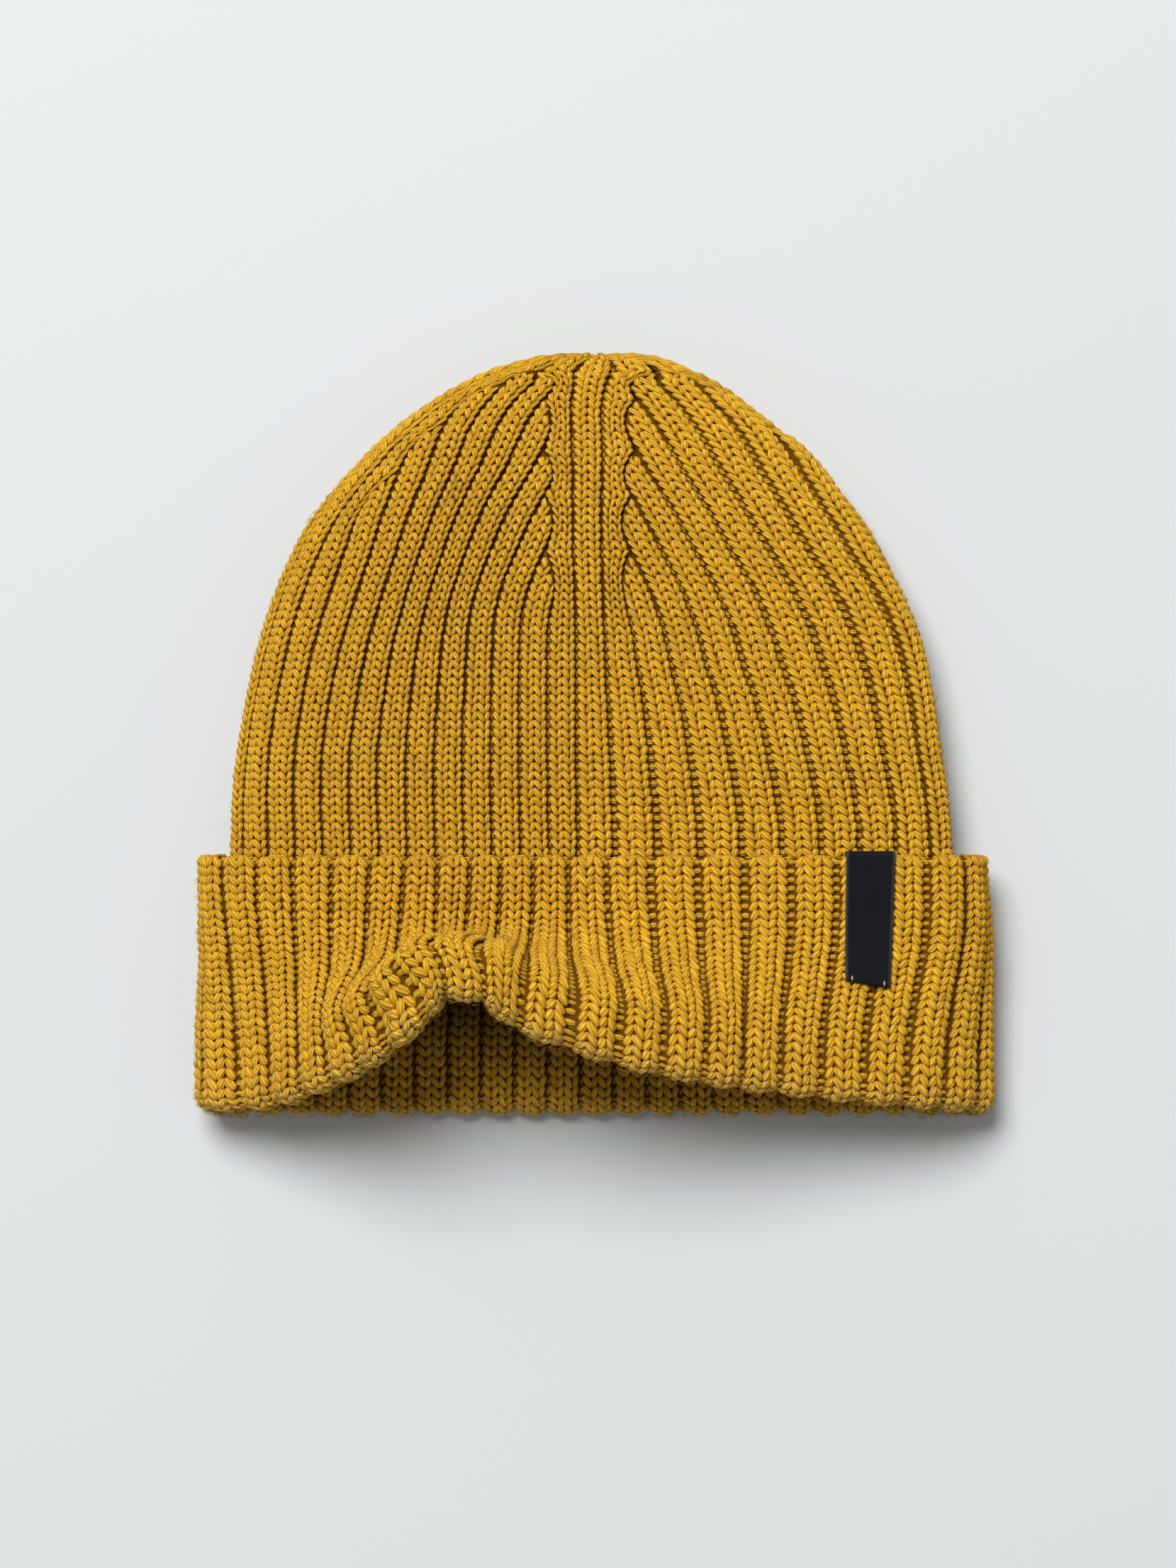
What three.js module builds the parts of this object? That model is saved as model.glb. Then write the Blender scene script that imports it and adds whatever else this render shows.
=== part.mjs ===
// A ribbed fisherman beanie lying on its back, with its front towards +Z, its crown towards +Y
// and its open mouth towards -Y. Its right side is +X. All sizes are in millimetres.
import * as THREE from "three";

// Sizes of the hat as it lies.
const CUFF_WIDTH = 218;
const CUFF_HEIGHT = 72.6;
const CUFF_DEPTH = 33;
const CUFF_FLARE = 1.4; // how much further out each side is at the hem than at the cuff's top
const CROWN_WIDTH = 200;
const CROWN_HEIGHT = 139; // from the cuff's top edge to the closed tip
const CROWN_DEPTH = 30;
const CROWN_TUCK = 14; // how far the crown runs down inside the cuff
const ARCH_RISE = 44; // how far the front of the hem is pushed up above the rest of the cuff

// Sizes of the knitting.
const KNIT_THICKNESS = 4.2;
const RIB_RELIEF = 1.3; // from a rib's crest down to the groove beside it
const EDGE_SCALLOP = 1; // how far each rib stands out at the cast-on edge
const LAYER_GAP = 1.7; // between the two layers of the cuff
const JOIN_GAP = 0.8; // between the crown's lower edge and the cuff's inner layer
const RIBS_PER_QUARTER = 12;
const QUARTERS = 4;
const RIB_COUNT = RIBS_PER_QUARTER * QUARTERS;

// Sizes of the woven label, which is folded over the cuff's top edge.
const LABEL_WIDTH = 13.4;
const LABEL_FRONT = 37.8;
const LABEL_BACK = 12;
const LABEL_THICKNESS = 0.7;
const LABEL_CLEARANCE = 0.4;
const LABEL_FROM_SIDE = 33; // from its middle line to the cuff's right side
const LABEL_LEAN = 1; // how far its lower end lies to the left of its upper end

// Roundness of the flattened tubes: a higher power makes a flatter front with fuller sides.
const CUFF_POWER = 10;
const CROWN_POWER = 4.4;
const SIDE_HEIGHT = 0.5; // height of the side folds, as a share of the depth

// The dome. up is a share of CROWN_HEIGHT, left and right are shares of half of CROWN_WIDTH,
// back and front are shares of CROWN_DEPTH, measured up from the surface that it lies on.
const CROWN_SECTIONS = [
  { up: 0.096, left: 0.997, right: 0.993, back: 0.1, front: 0.93 },
  { up: 0.214, left: 0.98, right: 0.972, back: 0.01, front: 0.99 },
  { up: 0.42, left: 0.923, right: 0.917, back: 0, front: 1 },
  { up: 0.627, left: 0.812, right: 0.79, back: 0, front: 0.97 },
  { up: 0.794, left: 0.632, right: 0.61, back: 0, front: 0.88 },
  { up: 0.883, left: 0.493, right: 0.459, back: 0.02, front: 0.77 },
  { up: 0.951, left: 0.334, right: 0.322, back: 0.06, front: 0.64 },
  { up: 0.985, left: 0.2, right: 0.205, back: 0.12, front: 0.52 },
  { up: 0.997, left: 0.09, right: 0.1, back: 0.2, front: 0.42 },
];
const TIP = { up: 1, across: 0.01, height: 0.31 };

// Where the four decrease lines run, as shares of the way round from the left side fold.
const DECREASE_LINES = { left: 0.022, front: 0.25, right: 0.56, back: 0.785 };

// How many of the ribs beside a decrease line have run in under its flank rib, at heights given as
// shares of CROWN_HEIGHT. A rib keeps its width and is cut off by the flank as it slides under it.
const SIDE_ENDED = [
  { up: 0.55, ribs: 0 },
  { up: 0.6, ribs: 0.05 },
  { up: 0.675, ribs: 0.35 },
  { up: 0.748, ribs: 0.87 },
  { up: 0.846, ribs: 1.85 },
  { up: 0.938, ribs: 2.9 },
  { up: 0.963, ribs: 4 },
];
const FACE_ENDED = [
  { up: 0.37, ribs: 0 },
  { up: 0.43, ribs: 0.04 },
  { up: 0.51, ribs: 0.33 },
  { up: 0.582, ribs: 0.85 },
  { up: 0.695, ribs: 1.85 },
  { up: 0.786, ribs: 2.85 },
  { up: 0.898, ribs: 3.9 },
  { up: 0.963, ribs: 5 },
];
const TIP_FADE = 0.87; // share of CROWN_HEIGHT above which the ribs flatten towards the tip

// The cuff. Each row follows the groove before one rib: its place round the cuff as a share of the
// way round, then, as shares of half of CUFF_WIDTH, how far it moves to the right at the hem
// and at the ridge of the arch, how far the hem is drawn back as a share of CUFF_HEIGHT,
// and how much of ARCH_RISE it takes. The rest of the cuff lies flat.
const CUFF_FOLDS = [
  { rib: 0, around: 0.006, hem: 0.02, ridge: 0, drawn: 0.021, rise: 0 },
  { rib: 1, around: 0.0287, hem: 0.068, ridge: 0, drawn: 0.028, rise: 0 },
  { rib: 2, around: 0.0515, hem: 0.054, ridge: 0, drawn: 0.05, rise: 0.08 },
  { rib: 3, around: 0.0738, hem: 0.03, ridge: 0, drawn: 0.09, rise: 0.22 },
  { rib: 5, around: 0.1185, hem: -0.018, ridge: -0.036, drawn: 0.197, rise: 0.6 },
  { rib: 6, around: 0.1389, hem: -0.041, ridge: -0.043, drawn: 0.265, rise: 0.76 },
  { rib: 7, around: 0.1588, hem: -0.022, ridge: -0.08, drawn: 0.39, rise: 0.95 },
  { rib: 8, around: 0.1779, hem: -0.045, ridge: -0.044, drawn: 0.475, rise: 1 },
  { rib: 9, around: 0.1957, hem: -0.0235, ridge: -0.02, drawn: 0.455, rise: 0.97 },
  { rib: 10, around: 0.2149, hem: -0.018, ridge: 0.012, drawn: 0.36, rise: 0.88 },
  { rib: 12, around: 0.2575, hem: 0.037, ridge: 0.012, drawn: 0.223, rise: 0.66 },
  { rib: 14, around: 0.311, hem: 0.014, ridge: 0.008, drawn: 0.149, rise: 0.47 },
  { rib: 16, around: 0.3661, hem: -0.042, ridge: 0, drawn: 0.104, rise: 0.28 },
  { rib: 18, around: 0.4187, hem: -0.064, ridge: 0, drawn: 0.064, rise: 0.12 },
  { rib: 20, around: 0.4723, hem: -0.08, ridge: 0, drawn: 0.033, rise: 0.02 },
  { rib: 22, around: 0.512, hem: 0, ridge: 0, drawn: 0.008, rise: 0 },
  { rib: 24, around: 0.5455, hem: 0, ridge: 0, drawn: 0, rise: 0 },
];
// The arch rises from the crown's lower edge and is level again at ridge, as shares of the way down.
const ARCH = { ridge: 0.9, bulgeStart: 0.45, bulgePeak: 0.8 };
const BACK_EASE = 0.9; // share of the way across the back at which the first fold begins again
const EDGE_RELIEF = 0.6; // share of the ribs' relief at the cast-on edge
const HEM_RELIEF_END = 0.6; // the ribs of the inner layer show below this share of the way down
const LEVEL_SPACING = 0.05; // least distance from the join to the next level

const YARN_COLOUR = 0xc2912b;
const LABEL_COLOUR = 0x16171c;

// Sampling of the faceted surfaces.
const RIB_SAMPLES = [
  { across: 0, relief: -1 },
  { across: 0.27, relief: 0 },
  { across: 0.73, relief: 0 },
];
const CROWN_LEVELS = [0, 0.1, 0.22, 0.34, 0.43, 0.51, 0.582, 0.64, 0.695, 0.748, 0.786, 0.846, 0.898];
const CROWN_TOP_LEVELS = [0.938, 0.963, 0.985, 0.997];
const INNER_LEVELS = [0, 0.12, 0.26, 0.41, 0.55, 0.68, 0.79, 0.87, 0.93];
const CUFF_LEVELS = [0.025, 0.2, 0.36, 0.5, 0.63, 0.76, 0.88, 1];
const TURN_ANGLES = [45, 90, 135];
const LABEL_FRONT_LEVELS = [1, 0.75, 0.5, 0.25, 0];
const LABEL_BACK_LEVELS = [0, 0.5, 1];
const LOOP_STEPS = 480;
const NUDGE = 0.01;

const layerStep = KNIT_THICKNESS + LAYER_GAP;
const hemDepth = KNIT_THICKNESS + layerStep;
const hemRadius = hemDepth / 2;
const faceLength = CUFF_HEIGHT - hemRadius;
const joinDown = (CROWN_TUCK + JOIN_GAP) / faceLength;

// Smooth step from 0 to 1 as share runs from start to end.
function ease(share, start, end) {
  return THREE.MathUtils.smoothstep(share, start, end);
}

// A monotone cubic curve through one column of a table, as a function of another.
function columnCurve(rows, key, column) {
  const slopes = rows.slice(1).map((row, i) => (row[column] - rows[i][column]) / (row[key] - rows[i][key]));
  const tangents = rows.map((row, i) => {
    const before = slopes[i - 1] ?? slopes[i];
    const after = slopes[i] ?? before;
    return before * after <= 0 ? 0 : (2 * before * after) / (before + after);
  });
  return (at) => {
    const found = rows.findIndex((row) => row[key] > at);
    const i = found < 0 ? rows.length - 2 : Math.max(found - 1, 0);
    const step = rows[i + 1][key] - rows[i][key];
    const t = THREE.MathUtils.clamp((at - rows[i][key]) / step, 0, 1);
    const start = rows[i][column];
    const end = rows[i + 1][column];
    const smooth = t * t * (3 - 2 * t);
    return (
      start * (1 - smooth) +
      end * smooth +
      step * tangents[i] * t * (1 - t) * (1 - t) -
      step * tangents[i + 1] * t * t * (1 - t)
    );
  };
}

// The curves of all the columns of a table, called with the value of its key.
function tableCurves(rows, key) {
  const columns = Object.keys(rows[0]).filter((name) => name !== key);
  const curves = columns.map((name) => [name, columnCurve(rows, key, name)]);
  return (at) => Object.fromEntries(curves.map(([name, curve]) => [name, curve(at)]));
}

// A flattened tube's outline in an XZ plane. The returned function takes a share of the way round,
// from the left fold over the front, and gives the point and the outward direction there.
function flattenedLoop({ left, right, back, front }, power) {
  const centre = (left + right) / 2;
  const half = (right - left) / 2;
  const side = back + (front - back) * SIDE_HEIGHT;
  const points = [];
  for (let i = 0; i <= LOOP_STEPS; i += 1) {
    const angle = (2 * Math.PI * i) / LOOP_STEPS;
    const across = Math.cos(angle);
    const height = Math.sin(angle);
    const x = centre - half * Math.sign(across) * Math.abs(across) ** (2 / power);
    points.push(new THREE.Vector2(x, side + (height > 0 ? front - side : side - back) * height));
  }
  const lengths = [0];
  for (let i = 1; i <= LOOP_STEPS; i += 1) {
    lengths.push(lengths[i - 1] + points[i].distanceTo(points[i - 1]));
  }
  const pointAt = (share) => {
    const length = (share - Math.floor(share)) * lengths[LOOP_STEPS];
    const next = Math.max(1, lengths.findIndex((value) => value >= length));
    const t = (length - lengths[next - 1]) / (lengths[next] - lengths[next - 1]);
    return points[next - 1].clone().lerp(points[next], t);
  };
  return (share) => {
    const along = pointAt(share + NUDGE / 2).sub(pointAt(share - NUDGE / 2)).normalize();
    return { point: pointAt(share), outward: new THREE.Vector2(-along.y, along.x) };
  };
}

// A closed surface built from rows of corners. A row may name a corner more than once in a run,
// and the triangles that would collapse there are left out.
class Skin {
  constructor() {
    this.positions = [];
    this.corners = [];
  }

  add(point) {
    this.positions.push(point.x, point.y, point.z);
    return this.positions.length / 3 - 1;
  }

  triangle(a, b, c) {
    if (a !== b && b !== c && c !== a) this.corners.push(a, b, c);
  }

  band(near, far) {
    near.forEach((corner, i) => {
      const next = (i + 1) % near.length;
      this.triangle(corner, near[next], far[next]);
      this.triangle(corner, far[next], far[i]);
    });
  }

  fan(row, tip) {
    row.forEach((corner, i) => this.triangle(corner, row[(i + 1) % row.length], tip));
  }

  geometry() {
    const geometry = new THREE.BufferGeometry();
    geometry.setAttribute("position", new THREE.Float32BufferAttribute(this.positions, 3));
    geometry.setIndex(this.corners);
    geometry.computeVertexNormals();
    return geometry;
  }
}

// How much of a rib still shows at a height. step counts ribs from a side line to a face line.
const sideEnded = tableCurves(SIDE_ENDED, "up");
const faceEnded = tableCurves(FACE_ENDED, "up");

function ribWeight(step, up) {
  if (step < 2 || step > RIBS_PER_QUARTER - 2) return 1;
  const fromSide = step - 1 - sideEnded(up).ribs;
  const fromFace = RIBS_PER_QUARTER - step - 1 - faceEnded(up).ribs;
  return THREE.MathUtils.clamp(Math.min(fromSide, fromFace), 0, 1);
}

// Where each rib starts round the crown at a height, and how wide it is, as shares of the way round.
// Rib 0 is the middle rib of the left line, and each quarter runs from one line to the next.
function crownRibs(up) {
  const lines = [...Object.values(DECREASE_LINES), DECREASE_LINES.left + 1];
  const ribs = [];
  for (let quarter = 0; quarter < QUARTERS; quarter += 1) {
    const mirrored = quarter % 2 === 1;
    const weights = Array.from({ length: RIBS_PER_QUARTER }, (_, step) =>
      ribWeight(mirrored && step ? RIBS_PER_QUARTER - step : step, up),
    );
    const span = lines[quarter + 1] - lines[quarter];
    const pitch = span / weights.reduce((sum, weight) => sum + weight, 0);
    let start = lines[quarter] + pitch / 2;
    weights.slice(1).forEach((weight) => {
      ribs.push({ start, width: weight * pitch, share: weight });
      start += weight * pitch;
    });
    ribs.push({ start, width: pitch, share: 1 });
  }
  return ribs;
}

// The room inside the cuff, and the crown's outline from there up to the tip.
const cuffInside = {
  left: -CUFF_WIDTH / 2 + layerStep,
  right: CUFF_WIDTH / 2 - layerStep,
  back: layerStep,
  front: CUFF_DEPTH - layerStep,
};
const crownRows = [
  { up: -CROWN_TUCK, ...cuffInside },
  { up: 0, ...cuffInside, left: -CROWN_WIDTH / 2, right: CROWN_WIDTH / 2 },
  ...CROWN_SECTIONS.map((row) => ({
    up: row.up * CROWN_HEIGHT,
    left: (-row.left * CROWN_WIDTH) / 2,
    right: (row.right * CROWN_WIDTH) / 2,
    back: row.back * CROWN_DEPTH,
    front: row.front * CROWN_DEPTH,
  })),
];
const crownOutline = tableCurves(crownRows, "up");

// The crown's outline at a height above the cuff's top edge, drawn in by inset on every side.
function crownLoop(height, inset, sideInset = inset) {
  const { left, right, back, front } = crownOutline(height);
  return flattenedLoop(
    { left: left + sideInset, right: right - sideInset, back: back + inset, front: front - inset },
    CROWN_POWER,
  );
}

// One row of ribbed corners round the crown. A rib that is partly cut off has a lower crest, and one
// that has ended keeps the next rib's groove corner.
function crownRow(skin, height) {
  const loop = crownLoop(height, 0);
  const fade = 1 - ease(height / CROWN_HEIGHT, TIP_FADE, 1);
  const row = crownRibs(height / CROWN_HEIGHT).map(({ start, width, share }) =>
    RIB_SAMPLES.map(({ across, relief }) => {
      if (width === 0) return null;
      const { point, outward } = loop(start + across * width);
      const sunk = (relief + 1) * share - 1;
      point.addScaledVector(outward, sunk * RIB_RELIEF * fade);
      return skin.add(new THREE.Vector3(point.x, CUFF_HEIGHT + height, point.y));
    }),
  );
  const corners = row.flat();
  for (let i = corners.length - 1; i >= 0; i -= 1) {
    corners[i] ??= corners[(i + 1) % corners.length];
  }
  return corners;
}

// The sloping dome needs a larger inset in each level plane to keep its wall's thickness.
function slopedInset(height) {
  const run = crownOutline(height - NUDGE).right - crownOutline(height + NUDGE).right;
  return KNIT_THICKNESS * Math.min(Math.hypot(1, run / (2 * NUDGE)), 2);
}

function innerCrownRow(skin, height) {
  const loop = crownLoop(height, KNIT_THICKNESS, slopedInset(height));
  return crownRibs(0).flatMap(({ start }) => {
    const { point } = loop(start);
    const corner = skin.add(new THREE.Vector3(point.x, CUFF_HEIGHT + height, point.y));
    return RIB_SAMPLES.map(() => corner);
  });
}

// The crown is one thick knitted wall, closed at its tip and open at its lower edge in the cuff.
function makeCrown() {
  const skin = new Skin();
  const heights = [...CROWN_LEVELS, ...CROWN_TOP_LEVELS].map((up) => up * CROWN_HEIGHT);
  const outer = [-CROWN_TUCK, ...heights].map((height) => crownRow(skin, height));
  const inner = [-CROWN_TUCK, ...INNER_LEVELS.map((up) => up * CROWN_HEIGHT)].map((height) =>
    innerCrownRow(skin, height),
  );
  const tipX = (TIP.across * CROWN_WIDTH) / 2;
  const tipZ = TIP.height * CROWN_DEPTH;
  const innerTop = CUFF_HEIGHT + INNER_LEVELS.at(-1) * CROWN_HEIGHT;
  outer.slice(1).forEach((row, i) => skin.band(outer[i], row));
  skin.fan(outer.at(-1), skin.add(new THREE.Vector3(tipX, CUFF_HEIGHT + TIP.up * CROWN_HEIGHT, tipZ)));
  inner.slice(1).forEach((row, i) => skin.band(row, inner[i]));
  skin.fan([...inner.at(-1)].reverse(), skin.add(new THREE.Vector3(tipX, innerTop, tipZ)));
  skin.band(inner[0], outer[0]);
  return skin.geometry();
}

// The cuff's outer face. rib is a place round it, counted in ribs from the left fold, and down
// runs from 0 at the top edge to 1 where the hem starts to turn under.
const foldAt = tableCurves(CUFF_FOLDS, "rib");
const cuffLoop = flattenedLoop(
  { left: -CUFF_WIDTH / 2, right: CUFF_WIDTH / 2, back: 0, front: CUFF_DEPTH },
  CUFF_POWER,
);

// The table covers the front. Over the back the ribs are evenly spaced up to the first row again.
function cuffFold(rib) {
  const place = THREE.MathUtils.euclideanModulo(rib, RIB_COUNT);
  const first = CUFF_FOLDS[0];
  const last = CUFF_FOLDS.at(-1);
  if (place <= last.rib) return foldAt(place);
  const share = (place - last.rib) / (RIB_COUNT - last.rib);
  const near = ease(share, BACK_EASE, 1);
  return {
    around: last.around + (1 + first.around - last.around) * share,
    hem: first.hem * near,
    ridge: 0,
    drawn: first.drawn * near,
    rise: 0,
  };
}

function cuffPoint(rib, down) {
  const fold = cuffFold(rib);
  const { point } = cuffLoop(fold.around);
  const raised = ease(down, joinDown, ARCH.ridge);
  const bulge = ease(down, ARCH.bulgeStart, ARCH.bulgePeak) * (1 - ease(down, ARCH.bulgePeak, 1));
  const half = CUFF_WIDTH / 2;
  return new THREE.Vector3(
    point.x * (1 + (CUFF_FLARE * down) / half) + half * (fold.hem * ease(down, 0, 1) + fold.ridge * bulge),
    CUFF_HEIGHT - down * faceLength + fold.drawn * CUFF_HEIGHT * raised,
    point.y + fold.rise * ARCH_RISE * raised,
  );
}

// The outer face's point, its outward normal and its downward direction.
function cuffFrame(rib, down) {
  const across = cuffPoint(rib + 0.25, down).sub(cuffPoint(rib - 0.25, down));
  const downward = cuffPoint(rib, down + NUDGE).sub(cuffPoint(rib, down - NUDGE)).normalize();
  const outward = downward.clone().cross(across).normalize();
  return { point: cuffPoint(rib, down), outward, downward, across: outward.clone().cross(downward) };
}

// One ribbed row of the cuff, at a depth below the outer face. beyond moves it on past its level.
function cuffRow(skin, { down, depth, beyond = 0, relief = 0 }) {
  const corners = [];
  for (let rib = 0; rib < RIB_COUNT; rib += 1) {
    const samples = relief ? RIB_SAMPLES : RIB_SAMPLES.slice(0, 1);
    const added = samples.map((sample) => {
      const { point, outward, downward } = cuffFrame(rib + sample.across, down);
      const inward = depth - sample.relief * relief * RIB_RELIEF;
      const scallop = down === 0 ? sample.relief * EDGE_SCALLOP : 0;
      return skin.add(point.addScaledVector(outward, -inward).addScaledVector(downward, beyond - scallop));
    });
    RIB_SAMPLES.forEach((_, i) => corners.push(added[i] ?? added[0]));
  }
  return corners;
}

// Rows on the round hem, between the outer face and the inner one.
function hemArc(angles) {
  return angles.map((degrees) => {
    const angle = THREE.MathUtils.degToRad(degrees);
    return {
      down: 1,
      depth: hemRadius * (1 - Math.cos(angle)),
      beyond: hemRadius * Math.sin(angle),
      relief: Math.cos(angle),
    };
  });
}

// The cuff is the same knitting turned up on itself: an outer layer that ends in the cast-on edge,
// the folded hem, and an inner layer that meets the crown's lower edge behind the outer one.
function makeCuff() {
  const skin = new Skin();
  const inside = [joinDown, ...CUFF_LEVELS.filter((down) => down > joinDown + LEVEL_SPACING)];
  const rows = [
    { down: 0, depth: KNIT_THICKNESS / 2, relief: EDGE_RELIEF },
    ...CUFF_LEVELS.map((down) => ({ down, depth: 0, relief: 1 })),
    ...hemArc(TURN_ANGLES),
    ...[...inside].reverse().map((down) => ({ down, depth: hemDepth, relief: down > HEM_RELIEF_END ? -1 : 0 })),
    ...inside.map((down) => ({ down, depth: layerStep })),
    { down: 1, depth: hemRadius, beyond: LAYER_GAP / 2 },
    ...[...CUFF_LEVELS].reverse().map((down) => ({ down, depth: KNIT_THICKNESS })),
  ].map((row) => cuffRow(skin, row));
  rows.forEach((row, i) => skin.band(rows[(i + 1) % rows.length], row));
  return skin.geometry();
}

// The rib number at which the cuff's outer face reaches x on the front.
function ribAt(x, down) {
  let low = CUFF_FOLDS[0].rib;
  let high = CUFF_FOLDS.at(-1).rib;
  while (high - low > NUDGE) {
    const middle = (low + high) / 2;
    if (cuffPoint(middle, down).x < x) low = middle;
    else high = middle;
  }
  return (low + high) / 2;
}

// The label is a strip of constant thickness: down the front, over the cast-on edge and down behind.
function makeLabel() {
  const skin = new Skin();
  const half = LABEL_WIDTH / 2;
  const centreX = CUFF_WIDTH / 2 - LABEL_FROM_SIDE;
  const place = (down, depth) => ({ down, depth });
  const front = LABEL_FRONT_LEVELS.map((share) => place((share * LABEL_FRONT) / faceLength, 0));
  const turn = TURN_ANGLES.map((degrees) => {
    const middle = KNIT_THICKNESS / 2;
    return place(0, middle - middle * Math.cos(THREE.MathUtils.degToRad(degrees)));
  });
  const behind = LABEL_BACK_LEVELS.map((share) => place((share * LABEL_BACK) / faceLength, KNIT_THICKNESS));
  const route = [...front, ...turn, ...behind];
  const frames = route.map(({ down, depth }) => {
    const x = centreX - (LABEL_LEAN * down * faceLength) / LABEL_FRONT;
    const { point, outward, across } = cuffFrame(ribAt(x, down), down);
    return { centre: point.addScaledVector(outward, -depth), across };
  });
  const rows = frames.map(({ centre, across }, i) => {
    const before = frames[Math.max(i - 1, 0)].centre;
    const after = frames[Math.min(i + 1, frames.length - 1)].centre;
    const along = after.clone().sub(before).normalize();
    const outward = across.clone().cross(along).normalize();
    const corner = (side, height) =>
      skin.add(centre.clone().addScaledVector(across, side * half).addScaledVector(outward, height));
    const top = LABEL_CLEARANCE + LABEL_THICKNESS;
    return [corner(-1, LABEL_CLEARANCE), corner(1, LABEL_CLEARANCE), corner(1, top), corner(-1, top)];
  });
  rows.slice(1).forEach((row, i) => skin.band(row, rows[i]));
  [rows[0], [...rows.at(-1)].reverse()].forEach(([a, b, c, d]) => {
    skin.triangle(a, b, c);
    skin.triangle(a, c, d);
  });
  return skin.geometry();
}

function namedMesh(name, geometry, color, roughness) {
  const material = new THREE.MeshStandardMaterial({ color, roughness, metalness: 0, flatShading: true });
  const mesh = new THREE.Mesh(geometry, material);
  mesh.name = name;
  return mesh;
}

const beanie = new THREE.Group();
beanie.add(namedMesh("crown", makeCrown(), YARN_COLOUR, 0.9));
beanie.add(namedMesh("cuff", makeCuff(), YARN_COLOUR, 0.9));
beanie.add(namedMesh("label", makeLabel(), LABEL_COLOUR, 0.8));

// The origin is under the middle of the hat, on the surface that it lies on.
const box = new THREE.Box3().setFromObject(beanie);
const middle = box.getCenter(new THREE.Vector3());
beanie.position.set(-middle.x, -middle.y, -box.min.z);

export default beanie;
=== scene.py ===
# %% [markdown]
# # A ribbed fisherman beanie, stitch by stitch
# The hat lies on its back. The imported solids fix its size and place. This script lays real knit
# stitches over the same surfaces: every yarn leg is a small bent capsule in the fabric's own
# coordinates, so it follows each rib, decrease, fold and the arch in the cuff.

# %% Load the frame
import math

import bpy
import numpy as np
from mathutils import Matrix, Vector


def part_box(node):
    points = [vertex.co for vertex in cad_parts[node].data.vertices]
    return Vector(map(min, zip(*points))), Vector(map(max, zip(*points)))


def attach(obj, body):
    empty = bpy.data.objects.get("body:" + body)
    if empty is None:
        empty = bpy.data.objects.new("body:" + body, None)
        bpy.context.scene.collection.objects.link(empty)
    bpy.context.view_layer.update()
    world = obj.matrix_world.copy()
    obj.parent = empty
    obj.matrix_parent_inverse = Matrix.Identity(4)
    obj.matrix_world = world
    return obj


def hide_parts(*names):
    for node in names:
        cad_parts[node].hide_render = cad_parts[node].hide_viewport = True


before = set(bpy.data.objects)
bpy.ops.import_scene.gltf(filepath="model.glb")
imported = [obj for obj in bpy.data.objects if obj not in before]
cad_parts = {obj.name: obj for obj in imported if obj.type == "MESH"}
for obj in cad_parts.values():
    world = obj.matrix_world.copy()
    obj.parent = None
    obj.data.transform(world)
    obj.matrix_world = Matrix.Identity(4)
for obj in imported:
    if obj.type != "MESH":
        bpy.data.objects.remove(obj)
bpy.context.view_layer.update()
crown_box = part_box("crown")
cuff_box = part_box("cuff")
label_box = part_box("label")
print("solids:", sorted(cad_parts))

# %% [markdown]
# Named sizes. Lengths are in millimetres while the fabric is worked out, and become metres in one
# place, where a mesh is made. The shape values are those of the hat's solids.

# %% Sizes of the hat
MM = 0.001
CUFF_WIDTH = 218
CUFF_HEIGHT = 72.6
CUFF_DEPTH = 33
CUFF_FLARE = 1.4
CROWN_WIDTH = 200
CROWN_HEIGHT = 139
CROWN_DEPTH = 30
CROWN_TUCK = 14
ARCH_RISE = 44
KNIT = 4.2
LAYER_GAP = 1.7
JOIN_GAP = 0.8
EDGE_SCALLOP = 1
RIBS = 48
QUARTER = 12
CUFF_POWER = 10
CROWN_POWER = 4.4
SIDE_HEIGHT = 0.5

LAYER_STEP = KNIT + LAYER_GAP
HEM_RADIUS = (KNIT + LAYER_STEP) / 2

# Local y is 0 at the back hem's lowest point. The solids give the shift to the frame.
SHIFT = np.array([
    cuff_box[1].x / MM - CUFF_WIDTH / 2 - CUFF_FLARE / 2,
    crown_box[1].y / MM - CUFF_HEIGHT - CROWN_HEIGHT,
    0,
])
print("shift to the frame in mm:", SHIFT.round(2))

# %% [markdown]
# The dome's sections, the decreases and the cuff's folds, as the solids have them. Three soft forms are
# only here: a slightly wider tip, the lean of the right front ribs, and a small swell of the cuff's
# sides. Heights are shares of the crown's height, widths of half of its width, depths of its depth.

# %% Tables of the shape
# up, left, right, back, front
CROWN_SECTIONS = np.array([
    (0.096, 0.997, 0.993, 0.1, 0.93),
    (0.214, 0.98, 0.972, 0.01, 0.99),
    (0.42, 0.923, 0.917, 0, 1),
    (0.627, 0.812, 0.79, 0, 0.97),
    (0.794, 0.632, 0.61, 0, 0.88),
    (0.883, 0.493, 0.459, 0.02, 0.77),
    (0.951, 0.334, 0.322, 0.06, 0.64),
    (0.985, 0.2, 0.22, 0.12, 0.52),
    (0.997, 0.11, 0.15, 0.2, 0.42),
    (1, 0, 0.012, 0.3, 0.31),
])
LEFT_LINE = 0.022
FRONT_LINE = 0.25
BACK_LINE = 0.785
# up, right line, right bend, left bunch
CROWN_SPREAD = np.array([
    (0, 0.56, 0.16, 0),
    (0.064, 0.56, 0.14, 0),
    (0.176, 0.562, 0.05, 0),
    (0.288, 0.575, -0.1, 0.03),
    (0.4, 0.594, -0.3, 0.08),
    (0.5, 0.597, -0.35, 0.15),
    (0.75, 0.58, -0.3, 0.1),
    (1, 0.56, -0.1, 0),
])
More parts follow.
